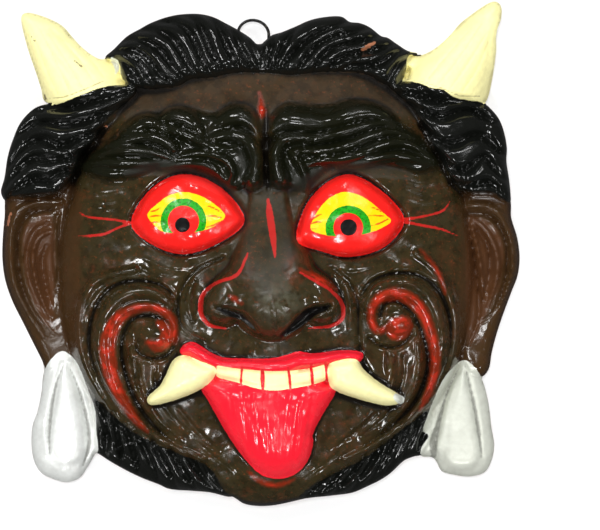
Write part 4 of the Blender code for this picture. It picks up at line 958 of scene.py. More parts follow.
# The yellow of the eyes.
EYE_WHITES = (
    ((-56, 19.6), (-50, 25.6), (-44, 29.4), (-37.6, 30.6), (-30, 28.9), (-23, 24.8), (-17.2, 19.1),
     (-20.6, 15), (-27, 11.6), (-38, 10), (-48.4, 10.9), (-53, 14.6)),
    ((25.4, 12), (27.6, 19), (31.2, 24.4), (36.5, 28.8), (43, 30.6), (52, 27.8), (61.8, 20),
     (65.4, 16), (60.4, 12.6), (53.7, 10), (44, 8.6), (33.3, 9)),
)
# Each eye's rings: centre and radius of the green, the red and the black.
EYE_RINGS = (
    ((-38, 16, 11.4), (-38, 16, 7.8), (-38.5, 14.2, 3.7)),
    ((44, 12.6, 11.3), (44, 12.8, 7.4), (44.2, 13, 4.1)),
)
EYE_VEINS = (
    ((-55, 20.7, 0.3), (-52, 21.4, 0.45), (-49.4, 22.8, 0.15)),
    ((-55, 18.2, 0.3), (-51.6, 18.8, 0.45), (-48.6, 18.7, 0.15)),
    ((-55, 14.8, 0.3), (-52, 15.7, 0.45), (-49, 15.7, 0.15)),
    ((-54, 12.2, 0.3), (-50, 13.2, 0.2)),
    ((-27.5, 24.2, 0.15), (-23, 22.6, 0.45), (-19, 20.2, 0.3)),
    ((-27.5, 18.3, 0.15), (-23, 18.6, 0.45), (-19, 17.7, 0.3)),
    ((-27.5, 12.8, 0.15), (-23.4, 13.9, 0.45), (-19, 16.2, 0.3)),
    ((54, 23.2, 0.15), (58, 22.2, 0.45), (62, 20.2, 0.3)),
    ((54, 18.8, 0.15), (58, 19, 0.45), (63, 18.2, 0.3)),
    ((55, 13.7, 0.15), (59.4, 14.9, 0.45), (64, 17.2, 0.3)),
    ((26, 16.7, 0.3), (28.4, 18.6, 0.45), (31, 19.7, 0.15)),
    ((25, 14.7, 0.3), (28.6, 15.7, 0.45), (32, 15.7, 0.15)),
    ((25.6, 12.2, 0.3), (32, 11.8, 0.2)),
)
# Bright red lines: from the eyes' corners, on the forehead and bridge, and round the nose.
RED_LINES = (
    ((-65, 15.2, 0.9), (-71, 16.6, 0.55), (-77.5, 17.3, 0.6), (-86, 18.3, 0.5),
     (-90.5, 20.7, 0.2)),
    ((-65, 15.2, 0.9), (-71, 12.7, 0.5), (-77.5, 9.8, 0.7), (-85, 8.8, 0.6), (-91, 8.8, 0.2)),
    ((71.6, 17, 0.9), (80, 18.2, 0.5), (90, 20.7, 0.6), (93, 23.2, 0.4), (95, 26.2, 0.15)),
    ((71.6, 16, 0.9), (80, 14.2, 0.6), (90, 12.3, 0.6), (99, 8.8, 0.2)),
    ((4, 26.8, 0.6), (5, 19.2, 1.7), (6.6, 8, 1.6), (7.7, -1.8, 0.5)),
    ((-6, 0, 0.5), (-10, -9, 0.8), (-14, -12, 0.9), (-22, -14.8, 0.8), (-28, -20, 1.1),
     (-29.5, -26, 1.3), (-28.6, -31.6, 1.1), (-24.6, -35.8, 0.9), (-17, -37.4, 0.5)),
    ((20, -9.4, 0.5), (28, -14, 0.7), (35, -18.2, 0.8), (40.4, -24, 1), (41.6, -29.6, 1),
     (40, -33.8, 0.9), (34, -36.4, 0.8), (24, -37.2, 0.3)),
)
# Rust-red bands: on the forehead and chin, round the cheeks' volutes, at the nose's wings.
RUST_BANDS = (
    ((-0.5, 80.7, 0.3), (0.6, 76, 1.1), (1, 71, 2), (1, 67.8, 0.6)),
    ((-6, -108.6, 0.4), (0, -113.6, 1.1), (6, -115.6, 1.3), (12, -115, 1), (17, -112.6, 0.3)),
    ((-42.6, -44, 1.2), (-42.6, -38, 1.8), (-44, -32.4, 2.1), (-49, -28.4, 2.2), (-56, -26.8, 2),
     (-63, -28, 2.4), (-70, -32, 3.2), (-74, -38, 3.8), (-76, -46, 4), (-75.4, -55, 3.8),
     (-73, -64, 3.4), (-68, -74, 2.8), (-62, -83, 2), (-56, -89, 0.6)),
    ((-56, -44, 1), (-51, -46, 3), (-46.6, -43, 3.4), (-46.6, -38, 2.6), (-50, -34.6, 1.6)),
    ((64.6, -34.4, 0.5), (61, -38.4, 1.6), (57.6, -37.6, 1.9), (55.6, -33, 2), (56.2, -27, 2.1),
     (60, -22.2, 2.8), (66, -20.4, 3.2), (72, -21.2, 3.2), (78, -25.4, 3.2), (82.5, -32, 3),
     (85.5, -41, 2.8), (87.4, -50, 2.6), (87, -60, 2.4), (84, -70, 1.8), (80, -78, 0.6)),
    ((67, -38.4, 4), (69, -37.4, 5.8), (71, -36, 5)),
    ((20, -8, 0.6), (27, -11.6, 1.8), (33, -15, 2), (37.6, -18, 0.8)),
    ((-15, -21, 0.6), (-12.4, -22.6, 1.2), (-9, -25, 0.5)),
    ((80, 2, 0.4), (86, -5, 1), (90, -12, 1.1), (92.6, -20, 0.4)),
)
LIPS = (
    (-39.6, -49.4), (-38.4, -46), (-34, -44), (-29.4, -46), (-25, -49), (-18, -51.8), (-8, -52.2),
    (0, -52.4), (7, -52), (13, -50.6), (19, -48.8), (26, -49.8), (32, -49.2), (38, -48.4),
    (45, -48.2), (50.6, -49.2), (51.4, -52), (49, -54.2), (44, -54.8), (36, -57), (34.6, -64),
    (24, -70), (0, -72), (-20, -70), (-27, -65), (-24, -58), (-34, -53),
)
TONGUE_LUMP = ((31.6, -66.6, 3.4), (33.4, -67.6, 3.2))
# Red between the teeth.
GAP_PAINT = (
    ((-8.6, -55, 0.5), (-9.2, -61, 0.6), (-9.4, -67, 0.5)),
    ((1.2, -55, 0.5), (1.4, -62, 1.1), (1.6, -69, 0.5)),
    ((13.8, -55, 0.5), (14.8, -62, 0.7), (15.4, -69, 0.5)),
    ((25.2, -55, 0.6), (26, -61, 0.8), (26.4, -67, 0.6)),
    ((32.6, -54, 0.7), (33.4, -59, 0.9), (33.4, -66, 0.7)),
    ((-22, -56, 0.6), (-22.4, -60, 0.8), (-22, -64, 0.5)),
)
# Black along the nostrils: painted shade.
NOSTRIL_SHADE = (
    ((-21, -27.4, 0.6), (-16, -29.6, 1.4), (-9, -32, 1.2), (-3, -37, 0.6)),
    ((33, -27.4, 1), (27, -28.8, 2.2), (22, -32, 2.8), (17, -36.6, 2), (10.6, -41, 0.8)),
)
EAR_HOLLOWS = (
    ((-118, 12), (-112, 17.6), (-106, 20), (-103, 10), (-103, -12), (-104, -36), (-109, -33),
     (-115, -20), (-118, -6)),
    ((104, 17), (110, 18), (118, 12), (122, 2), (120, -14), (113, -31), (105, -45), (103, -30),
     (103, 0)),
)
HORN_LINE_PAINT = (
    ((-107.6, 77.4, 0.3), (-98, 78.2, 0.35), (-88, 81.8, 0.35), (-78, 86.2, 0.25)),
    ((80, 86.2, 0.2), (91, 82.4, 0.35), (100, 78.8, 0.35), (110, 78.6, 0.3)),
)
# Greyish white: the tip of the right tusk and the foot of the left horn.
WHITE_DABS = (
    ((68, -71.4, 1.6), (70, -73, 2.2)),
    ((-74, 97.4, 0.8), (-72.4, 95.6, 1.5), (-71.6, 92.6, 1.2), (-72, 90, 0.5)),
)
# Painted shade in the grooves of the earrings.
EARRING_GROOVE_SHADE = (
    ((-95, -58, 0.2), (-91.4, -66, 0.5), (-87.8, -78, 0.7), (-85.6, -90, 0.9), (-86, -98, 0.9),
     (-88.6, -106, 0.4)),
    ((-99, -57, 0.2), (-102.2, -66, 0.6), (-104.4, -78, 0.8), (-105.6, -90, 0.8),
     (-105.4, -100, 0.3)),
    ((99.6, -57.6, 0.2), (94.6, -67, 0.5), (91.2, -78, 0.7), (88.4, -88, 1.5), (86.8, -95, 2),
     (87, -101, 1.4)),
    ((102.6, -56, 0.2), (105, -66, 0.6), (107.4, -77, 0.8), (109.4, -89, 0.8), (111, -102, 0.3)),
)
# Places where the paint is chipped off down to a dark undercoat, or to the clay.
DARK_CHIPS = (
    ((-114.4, 108.6, 0.3), (-112.6, 106.4, 0.5)),
    ((-97.6, 110.4, 0.2), (-94.8, 108.6, 0.5)),
    ((-92.6, 96.4, 0.2), (-89, 93.4, 0.45)),
    ((-107.8, 79.6, 0.4), (-107.6, 77, 0.6)),
)
CLAY_CHIPS = (
    ((50.6, 101.6, 0.3), (53.4, 103, 1), (57, 105.4, 0.5)),
    ((-78, 64.4, 0.3), (-76.6, 63.2, 0.6)),
    ((-124.6, 20, 0.5), (-126.4, 14, 0.7)),
)
# Reddish washes over the dark skin: centre, half sizes and strength.
WASHES = (
    ((18, -8), (7, 11), 0.8),
    ((-8, -10), (6, 9), 0.4),
    ((-60, -62), (16, 26), 0.35),
    ((74, -58), (18, 28), 0.45),
    ((-88, -30), (10, 34), 0.3),
    ((93, -20), (9, 30), 0.4),
    ((0, 80), (66, 9), 0.25),
    ((-84, 56), (14, 12), 0.45),
    ((84, 60), (12, 12), 0.3),
    ((36, -92), (24, 14), 0.3),
    ((-30, -92), (20, 14), 0.2),
    ((8, -32), (26, 8), 0.15),
)
# Where a wash ends, as the square of the way out of its oval.
WASH_FADE = 1.2
# Between these heights the forehead turns matt.
MATT_FOREHEAD = (62.0, 76.0)
# A painted highlight on the nose's tip, a soft grey sheen: centre and half sizes.
NOSE_SHEEN = ((10, -24), (11, 9))
# The bridge of the nose, with little varnish.
DULL_NOSE = ((3, 9), (14, 25))
# The undersides of the brows, with little varnish: x, y and half width.
DULL_PLACES = (
    ((-66, 40, 2), (-54, 42.4, 3.4), (-42, 41.6, 3.6), (-30, 38, 3.6), (-18, 32, 3.4),
     (-12, 28, 2)),
    ((16, 30, 2), (22, 34.4, 3.4), (32, 39.6, 3.6), (46, 42.2, 3.6), (60, 41.4, 3.4),
     (74, 39, 2)),
)
# Half width of the painted shade in the horns' scratches.
HORN_SCRATCH_SHADE = 0.3
# How far the horns' paint runs over the hair.
HORN_OVER_HAIR = 0.4
# How far round a zone its depth is measured, and its depth everywhere else.
ZONE_REACH = 3
FAR_OUTSIDE = -12.0
# The zones that are plain outlines, and those that are plain lines.
OUTLINE_ZONES = {
    "hair": (CROWN, *SIDE_HAIR, *BEARD),
    "brows": BROWS,
    "ears": EARS,
    "ear_hollows": EAR_HOLLOWS,
    "earrings": EARRINGS,
    # Painted shade: the right earring's silver made greyer, as less light falls on it.
    "shaded_earring": EARRINGS[1:],
    "eyes": [(left, *upper, right, *reversed(lower)) for left, right, upper, lower in EYES],
    "whites": EYE_WHITES,
    "teeth": (TEETH,),
    "tusks": TUSKS,
}
LINE_ZONES = {
    "horn_lines": HORN_LINE_PAINT,
    "horn_scratch_shade": [[(*point, HORN_SCRATCH_SHADE) for point in line] for line in HORN_SCRATCHES],
    "earring_groove_shade": EARRING_GROOVE_SHADE,
    "veins": EYE_VEINS,
    "red_lines": RED_LINES,
    "rust": RUST_BANDS,
    "nostril_shade": NOSTRIL_SHADE,
    "gaps": GAP_PAINT,
    "white_dabs": WHITE_DABS,
    "dark_chips": DARK_CHIPS,
    "clay_chips": CLAY_CHIPS,
    "dull_places": DULL_PLACES,
}
# The grid on which the carving is set against its surroundings, and how many steps they reach.
RISE_HALF = 134.0
RISE_REACH = 4
# How far within the outline the walls' paint is read.
PAINT_WRAP = 2.5
# The bake map: the walls' width, then scale per millimetre and where the drawing's zero lies.
BAKE_WALL = 4.0
BAKE_FRONT = (0.82 / 268, 0.415, 0.585)
BAKE_BACK = (0.155 / 268, 0.915, 0.085)


def rings(which):
    """One ring of each eye, as a short line that makes a disc."""
    return [[ring, (ring[0] + 0.01, *ring[1:])] for ring in (eye[which] for eye in EYE_RINGS)]


def zone(canvas, outlines=(), lines=()):
    """How far inside a paint zone each point lies, in millimetres; negative outside it."""
    depth = np.full_like(canvas.x, FAR_OUTSIDE)
    for outline in outlines:
        at, inside = canvas.within(spline(outline, closed=True), ZONE_REACH)
        depth[at] = np.maximum(depth[at], inside)
    for line in lines:
        rows = spline(line) if len(line) > 2 else np.array(line, float)
        flat = np.column_stack([rows, np.zeros(len(rows))])
        at, gap, _, _ = canvas.across(flat, rows[:, 2].max() + ZONE_REACH)
        depth[at] = np.maximum(depth[at], -gap)
    return depth


def rise_above_surroundings(x, y):
    """How far the carving stands above the mean of what is round it, in millimetres."""
    steps = np.arange(-RISE_HALF, RISE_HALF + 0.5)
    grid = np.meshgrid(steps, steps)
    relief = carve(grid[0].ravel(), grid[1].ravel())
    inside = (relief.outside < 0).astype(float).reshape(grid[0].shape)
    height = relief.height.reshape(inside.shape) * inside

    def spread(plane):
        for axis in (0, 1):
            shifts = range(-RISE_REACH, RISE_REACH + 1)
            plane = sum(np.roll(plane, shift, axis) for shift in shifts)
        return plane

    rise = height - spread(height) / np.maximum(spread(inside), 1)
    return sampled(rise, steps, x, y)


def paint_fields(x, y):
    """Everything that the paint's material reads at each point."""
    canvas = Relief(x, y)
    fields = {name: zone(canvas, outlines) for name, outlines in OUTLINE_ZONES.items()}
    fields |= {name: zone(canvas, lines=lines) for name, lines in LINE_ZONES.items()}
    top_hair = zone(canvas, (CROWN, *SIDE_HAIR))
    fields["horns"] = np.minimum(zone(canvas, HORNS), HORN_OVER_HAIR - top_hair)
    fields["green"] = np.minimum(zone(canvas, lines=rings(0)), fields["whites"])
    fields["iris"] = zone(canvas, lines=rings(1))
    fields["pupils"] = zone(canvas, lines=rings(2))
    fields["mouth"] = zone(canvas, (LIPS, TONGUE), [TONGUE_LUMP])
    fields["wash"] = np.zeros_like(x)
    for centre, half, strength in WASHES:
        wash = strength * ease(WASH_FADE - oval(x, y, centre, half))
        fields["wash"] = np.maximum(fields["wash"], wash)
    low, high = MATT_FOREHEAD
    fields["matt"] = ease((y - low) / (high - low))
    fields["nose_sheen"] = np.exp(-oval(x, y, *NOSE_SHEEN))
    fields["dull_nose"] = np.exp(-oval(x, y, *DULL_NOSE))
    fields["rise"] = rise_above_surroundings(x, y)
    return fields


def add_fields(mesh, fields):
    for name, values in fields.items():
        layer = mesh.attributes.new(name, "FLOAT", "POINT")
        layer.data.foreach_set("value", np.asarray(values, np.float32))


def way_out(x, y, edge):
    """The way out of the outline at the points of its edge, and nothing at the others."""
    out = np.zeros((2, len(x)))
    out[:, edge] = pull_to_outline(x[edge], y[edge])[2:]
    return out


def wall_depth(mesh):
    wall = np.empty(len(mesh.vertices), np.float32)
    mesh.attributes["wall"].data.foreach_get("value", wall)
    return wall


def add_bake_map(mesh, points):
    """One map for baking: the front seen from above with its walls folded out, the back small."""
    wall = wall_depth(mesh)
    x, y = points[:, :2].T + way_out(*points[:, :2].T, wall > 0) * wall * BAKE_WALL
    front = np.column_stack([x, y]) * BAKE_FRONT[0] + BAKE_FRONT[1:]
    back = points[:, :2] * BAKE_BACK[0] + BAKE_BACK[1:]
    corner = np.empty(len(mesh.loops), np.int32)
    mesh.loops.foreach_get("vertex_index", corner)
    behind = np.empty(len(mesh.polygons), np.int32)
    mesh.polygons.foreach_get("material_index", behind)
    sides = np.empty(len(mesh.polygons), np.int32)
    mesh.polygons.foreach_get("loop_total", sides)
    behind = np.repeat(behind, sides)[:, None] > 0
    places = np.where(behind, back[corner], front[corner])
    layer = mesh.uv_layers.new(name="OFBake", do_init=False)
    layer.uv.foreach_set("vector", places.astype(np.float32).ravel())


# ---------------------------------------------------------------------------
# Materials
# ---------------------------------------------------------------------------

def node(tree, kind, settings=(), **inputs):
    """Adds a node, with settings as pairs, and inputs by name or i and number."""
    made = tree.nodes.new(kind)
    for name, value in settings:
        setattr(made, name, value)
    for name, value in inputs.items():
        by_number = name[0] == "i" and name[1:].isdigit()
        socket = made.inputs[int(name[1:]) if by_number else name]
        if isinstance(value, bpy.types.NodeSocket):
            tree.links.new(value, socket)
        else:
            socket.default_value = value
    return made


def maths(tree, operation, first, second=0.0, third=0.0, clamp=False):
    settings = (("operation", operation), ("use_clamp", clamp))
    return node(tree, "ShaderNodeMath", settings, i0=first, i1=second, i2=third).outputs[0]


def mixed(tree, share, below, above, blend="MIX"):
    """One colour over another; a plain colour is three numbers."""
    settings = (("data_type", "RGBA"), ("blend_type", blend))
    below, above = ((*it, 1) if isinstance(it, tuple) else it for it in (below, above))
    return node(tree, "ShaderNodeMix", settings, i0=share, i6=below, i7=above).outputs[2]


def field(tree, name):
    return node(tree, "ShaderNodeAttribute", (("attribute_name", name),)).outputs["Fac"]


def noise(tree, millimetres, detail=2.0, rough=0.5):
    """Noise from 0 to 1 with features of about this size."""
    place = node(tree, "ShaderNodeTexCoord").outputs["Object"]
    made = node(tree, "ShaderNodeTexNoise", Vector=place, Scale=1 / (millimetres * MM),
                Detail=detail, Roughness=rough)
    return made.outputs[0]


def ramp(tree, value, low, high):
    """0 where value is low, 1 where it is high."""
    settings = (("interpolation_type", "SMOOTHSTEP"),)
    return node(tree, "ShaderNodeMapRange", settings, Value=value, i1=low, i2=high).outputs[0]


def veil(tree, size, detail, rough, low, high):
    """A broken layer: noise of this size in millimetres, from bare at low to full at high."""
    return ramp(tree, noise(tree, size, detail, rough), low, high)


DARK_SKIN = (0.031, 0.023, 0.0085)
RED_BROWN = (0.085, 0.027, 0.010)
BLACK = (0.0055, 0.006, 0.005)
RED = (0.93, 0.016, 0.013)
CREAM = (0.98, 0.93, 0.46)
CLAY = (0.42, 0.16, 0.06)
CLAY_ROUGHNESS = 0.85
MATT_BROWN = (0.042, 0.023, 0.009)
RUST_SPECK = (0.17, 0.042, 0.012)
PATCH_TINT = (0.34, 0.36, 0.30)
# Painted shade in the carving's hollows.
HOLLOW_SHADE = (0.008, 0.006, 0.004)
# The grey of the painted highlight on the nose's tip.
SHEEN_GREY = (0.085, 0.082, 0.054)
FRESH_RUST = (0.50, 0.028, 0.012)
GREEN_SPOT_TINT = (0.6, 0.25, 0.6)
# Tint of the brush marks, and of the painted shade in the deepest hollows.
MARK_AND_SHADE_TINT = (0.16, 0.10, 0.06)
# Broken layers, each as veil takes it.
MOTTLE = (9, 4, 0.6, 0.52, 0.75)
WASH_BREAKS = (3.5, 3, 0.5, 0.3, 0.7)
SPECKS = (1.8, 3, 0.7, 0.58, 0.68)
PATCHES = (6, 4, 0.65, 0.46, 0.62)
SHEEN_BREAKS = (4, 3, 0.5, 0.3, 0.7)
FRESH_STREAKS = (5, 3, 0.5, 0.44, 0.60)
GREEN_SPOTS = (1.1, 2, 0.5, 0.52, 0.6)
BRUSH_MARKS = (2.5, 3, 0.5, 0.25, 0.75)
SMEARS = (14, 3, 0.5, 0.42, 0.72)
# How strongly each covers, and the matt forehead and the painted shade in the deepest hollows.
MATT_COVER = 0.7
SPECK_COVER = 0.45
PATCH_COVER = 0.55
FRESH_COVER = 0.8
GREEN_SPOT_COVER = 0.7
BRUSH_MARK_COVER = 0.10
DEEP_SHADE_COVER = 0.25
# Painted shade in the hollows, and more in the deepest: the rise at which each begins and is full.
HOLLOW_SHADE_DEPTHS = (-0.6, -2.6)
DEEP_SHADE_DEPTHS = (-1.4, -4.4)
# How far within its zone each begins and is full.
FRESH_DEPTHS = (0.2, 1.6)
GREEN_SPOT_DEPTHS = (0.0, 0.4)
DULL_DEPTHS = (-1.5, 2.0)
HAIR_DEPTHS = (0.0, 1.5)
# Roughness of the skin, and what forehead, smears, brows and the nose's bridge add to it.
SKIN_ROUGHNESS = 0.12
MATT_ROUGHNESS = 0.75
SMEAR_ROUGHNESS = 0.2
BROW_ROUGHNESS = 0.6
BRIDGE_ROUGHNESS = 0.75
# The brush: size and detail of its straying. The bare back edge: size, detail and strength of
# its raggedness, and where down the wall the paint ends.
STRAY = (2.2, 2)
BARE_RAGGED = (6, 3)
BARE_RAGGED_SHARE = 0.9
BARE_EDGE = (1.28, 1.4)
# Varnish beads: size in millimetres, detail and height against each other.
BEADS = ((1.6, 0, 0.2), (2.6, 0, 0.7), (5.0, 1, 1.0))
BEAD_HEIGHT = 0.2
HAIR_SMOOTHS_BEADS = -0.4
VARNISH_BUMP = 0.7
VARNISH_LEVEL = 0.45
# Each coat of paint: its zone, colour, roughness, how much of a metal it is, how soft its edge
# is and how far the brush strayed, in millimetres, and how strongly it covers.
COATS = (
    ("ears", (0.055, 0.025, 0.009), 0.17, 0, 4.0, 2.5, 0.7),
    ("ear_hollows", (0.075, 0.029, 0.011), 0.22, 0, 2.5, 1.2, 0.8),
    ("rust", (0.19, 0.018, 0.0045), 0.14, 0, 2.2, 0.9, 0.95),
    ("brows", (0.0065, 0.0075, 0.0035), 0.10, 0, 4.0, 2.5, 0.95),
    ("hair", BLACK, 0.09, 0, 0.7, 0.8, 1),
    # Black along the nostrils: painted shade.
    ("nostril_shade", (0.004, 0.0035, 0.003), 0.3, 0, 1.0, 0.3, 1),
    ("red_lines", (0.46, 0.015, 0.012), 0.22, 0, 0.5, 0.4, 0.95),
    ("eyes", RED, 0.13, 0, 0.4, 0.3, 1),
    ("whites", (0.93, 0.66, 0.004), 0.16, 0, 0.25, 0.3, 1),
    ("green", (0.012, 0.36, 0.008), 0.16, 0, 0.25, 0.35, 1),
    ("iris", RED, 0.16, 0, 0.25, 0.2, 1),
    ("veins", (0.72, 0.05, 0.008), 0.16, 0, 0.25, 0.2, 0.9),
    ("pupils", (0.005, 0.005, 0.005), 0.1, 0, 0.25, 0.25, 1),
    ("mouth", (0.93, 0.014, 0.032), 0.15, 0, 0.4, 0.3, 1),
    ("teeth", CREAM, 0.28, 0, 0.3, 0.2, 1),
    ("gaps", (0.8, 0.014, 0.024), 0.24, 0, 0.3, 0.2, 1),
    ("tusks", CREAM, 0.3, 0, 0.35, 0.3, 1),
    ("earrings", (0.80, 0.82, 0.79), 0.36, 0.3, 0.5, 0.3, 1),
    # The right earring's greyer silver: painted shade.
    ("shaded_earring", (0.64, 0.66, 0.58), 0.40, 0.2, 0.5, 0.3, 1),
    ("horns", (0.97, 0.91, 0.43), 0.45, 0, 0.5, 0.4, 1),
    ("horn_lines", (0.22, 0.17, 0.08), 0.5, 0, 0.3, 0.3, 0.6),
    # Darker yellow in the horns' scratches: painted shade.
    ("horn_scratch_shade", (0.66, 0.52, 0.18), 0.5, 0, 1.0, 0.25, 0.35),
    # Dark grey in the earrings' grooves: painted shade.
    ("earring_groove_shade", (0.13, 0.13, 0.115), 0.3, 0, 1.0, 0.5, 0.75),
    ("white_dabs", (0.78, 0.82, 0.76), 0.3, 0, 0.5, 0.5, 0.9),
    ("dark_chips", (0.14, 0.10, 0.045), 0.6, 0, 0.4, 0.6, 0.8),
    ("clay_chips", (0.38, 0.14, 0.065), 0.5, 0, 0.4, 1.2, 0.9),
)


def start_material(name):
    shade = bpy.data.materials.new(name)
    shade.use_nodes = True
    tree = shade.node_tree
    shader = tree.nodes["Principled BSDF"]
    return shade, tree, shader


def painted_clay():
    """Varnished paint: dark skin, then every coat over it, with its brush marks and beads."""
    shade, tree, shader = start_material("painted_clay")
    stray = maths(tree, "SUBTRACT", noise(tree, *STRAY), 0.5)
    rise = field(tree, "rise")

    def times(first, second):
        return maths(tree, "MULTIPLY", first, second)

    def plus_times(base, first, second):
        return maths(tree, "MULTIPLY_ADD", first, second, base)

    # The skin: dark brown, washed with red-brown, painted shade in its hollows, matt on the
    # forehead.
    wash = maths(tree, "ADD", field(tree, "wash"), veil(tree, *MOTTLE))
    wash = maths(tree, "MULTIPLY", wash, veil(tree, *WASH_BREAKS), clamp=True)
    colour = mixed(tree, wash, DARK_SKIN, RED_BROWN)
    colour = mixed(tree, times(field(tree, "matt"), MATT_COVER), colour, MATT_BROWN)
    colour = mixed(tree, times(veil(tree, *SPECKS), SPECK_COVER), colour, RUST_SPECK)
    patches = times(veil(tree, *PATCHES), PATCH_COVER)
    colour = mixed(tree, patches, colour, PATCH_TINT, "MULTIPLY")
    # Painted shade: darker where the carving lies below its surroundings.
    colour = mixed(tree, ramp(tree, rise, *HOLLOW_SHADE_DEPTHS), colour, HOLLOW_SHADE)
    # A painted highlight: a broken grey sheen on the nose's tip.
    nose_sheen = times(field(tree, "nose_sheen"), veil(tree, *SHEEN_BREAKS))
    colour = mixed(tree, nose_sheen, colour, SHEEN_GREY)
    matt = maths(tree, "MULTIPLY_ADD", field(tree, "matt"), MATT_ROUGHNESS, SKIN_ROUGHNESS)
    # Red holds the roughness from here on, green how much of a metal the coat is.
    finish = node(tree, "ShaderNodeCombineColor", Red=matt, Green=0.0, Blue=0.0).outputs[0]

    for zone_name, paint, roughness, metal, soft, strays, cover in COATS:
        depth = plus_times(field(tree, zone_name), stray, 2 * strays)
        share = times(ramp(tree, depth, -soft / 2, soft / 2), cover)
        colour = mixed(tree, share, colour, paint)
        finish = mixed(tree, share, finish, (roughness, metal, 0))

    # Fresh streaks in the rust, spots in the green of the eyes.
    fresh = times(ramp(tree, field(tree, "rust"), *FRESH_DEPTHS), veil(tree, *FRESH_STREAKS))
    colour = mixed(tree, times(fresh, FRESH_COVER), colour, FRESH_RUST)
    low, high = GREEN_SPOT_DEPTHS
    spots = times(ramp(tree, field(tree, "green"), low, high), veil(tree, *GREEN_SPOTS))
    spots = times(spots, ramp(tree, field(tree, "iris"), -low, -high))
    colour = mixed(tree, times(spots, GREEN_SPOT_COVER), colour, GREEN_SPOT_TINT, "MULTIPLY")

    # Brush marks in every coat, painted shade in the deepest hollows, bare clay at the back edge.
    marks_and_shade = times(veil(tree, *BRUSH_MARKS), BRUSH_MARK_COVER)
    marks_and_shade = plus_times(marks_and_shade, ramp(tree, rise, *DEEP_SHADE_DEPTHS), DEEP_SHADE_COVER)
    colour = mixed(tree, marks_and_shade, colour, MARK_AND_SHADE_TINT, "MULTIPLY")
    edge = plus_times(field(tree, "wall"), noise(tree, *BARE_RAGGED), BARE_RAGGED_SHARE)
    bare = ramp(tree, edge, *BARE_EDGE)
    colour = mixed(tree, bare, colour, CLAY)
    finish = mixed(tree, bare, finish, (CLAY_ROUGHNESS, 0, 0))

    rough, metal = node(tree, "ShaderNodeSeparateColor", Color=finish).outputs[:2]
    dull_brows = ramp(tree, field(tree, "dull_places"), *DULL_DEPTHS)
    rough = plus_times(rough, veil(tree, *SMEARS), SMEAR_ROUGHNESS)
    rough = plus_times(rough, dull_brows, BROW_ROUGHNESS)
    rough = plus_times(rough, field(tree, "dull_nose"), BRIDGE_ROUGHNESS)
    shader.inputs["Specular IOR Level"].default_value = VARNISH_LEVEL
    tree.links.new(colour, shader.inputs["Base Color"])
    tree.links.new(rough, shader.inputs["Roughness"])
    tree.links.new(metal, shader.inputs["Metallic"])

    # Varnish that gathered in beads, flatter on hair and brows.
    beads = 0.0
    for size, detail, height in BEADS:
        beads = plus_times(beads, noise(tree, size, detail), height)
    hairy = maths(tree, "MAXIMUM", field(tree, "hair"), field(tree, "brows"))
    flatter = plus_times(1.0, ramp(tree, hairy, *HAIR_DEPTHS), HAIR_SMOOTHS_BEADS)
    bump = node(tree, "ShaderNodeBump", Strength=VARNISH_BUMP, Distance=BEAD_HEIGHT * MM,
                Height=times(beads, flatter))
    tree.links.new(bump.outputs[0], shader.inputs["Normal"])
    return shade


# The bare clay behind: its own colours and broken layers, as veil takes them.
CLAY_DARK = (0.30, 0.105, 0.04)
CLAY_PORE = (0.20, 0.07, 0.03)
SOOT = (0.03, 0.02, 0.014)
CLAY_MOTTLE = (18, 5, 0.6, 0.3, 0.7)
PORES = (1.2, 3, 0.5, 0.55, 0.8)
SOOT_SPOTS = (26, 3, 0.5, 0.60, 0.68)
# Its grain: strength, height in millimetres, and the coarse part's size and share of the fine.
GRAIN_BUMP = 0.6
GRAIN_HEIGHT = 0.25
COARSE_GRAIN = (5, 3)
FINE_GRAIN = (0.9, 3)
COARSE_SHARE = 2.0


def bare_clay():
    """Fired clay behind, with pores and soot."""
    shade, tree, shader = start_material("bare_clay")
    colour = mixed(tree, veil(tree, *CLAY_MOTTLE), CLAY, CLAY_DARK)
    colour = mixed(tree, veil(tree, *PORES), colour, CLAY_PORE)
    colour = mixed(tree, veil(tree, *SOOT_SPOTS), colour, SOOT)
    tree.links.new(colour, shader.inputs["Base Color"])
    shader.inputs["Roughness"].default_value = CLAY_ROUGHNESS
    grain = maths(tree, "MULTIPLY_ADD", noise(tree, *COARSE_GRAIN), COARSE_SHARE,
                  noise(tree, *FINE_GRAIN))
    bump = node(tree, "ShaderNodeBump", Strength=GRAIN_BUMP, Distance=GRAIN_HEIGHT * MM,
                Height=grain)
    tree.links.new(bump.outputs[0], shader.inputs["Normal"])
    return shade


# The wire: its black and what shows where it is worn, roughness, and its scratches.
WIRE_BLACK = (0.012, 0.012, 0.012)
WIRE_WORN = (0.07, 0.062, 0.05)
WIRE_WEAR = (2.5, 3, 0.5, 0.5, 0.75)
WIRE_ROUGHNESS = 0.22
WORN_ROUGHNESS = 0.25
WIRE_METAL = 0.6
WIRE_BUMP = 0.4
WIRE_SCRATCH = 0.05
WIRE_GRAIN = (0.8, 2)


def blackened_wire():
    """Black iron wire, worn brown in places."""
    shade, tree, shader = start_material("blackened_wire")
    worn = veil(tree, *WIRE_WEAR)
    rough = maths(tree, "MULTIPLY_ADD", worn, WORN_ROUGHNESS, WIRE_ROUGHNESS)
    tree.links.new(mixed(tree, worn, WIRE_BLACK, WIRE_WORN), shader.inputs["Base Color"])
    tree.links.new(rough, shader.inputs["Roughness"])
    shader.inputs["Metallic"].default_value = WIRE_METAL
    bump = node(tree, "ShaderNodeBump", Strength=WIRE_BUMP, Distance=WIRE_SCRATCH * MM,
                Height=noise(tree, *WIRE_GRAIN))
    tree.links.new(bump.outputs[0], shader.inputs["Normal"])
    return shade


# ---------------------------------------------------------------------------
# Pieces
# ---------------------------------------------------------------------------

# Points this near to the outline have the paint of the edge; faces that meet at more than
# SHARP_EDGE degrees are shaded apart.
NEAR_OUTLINE = 0.1
SHARP_EDGE = 75


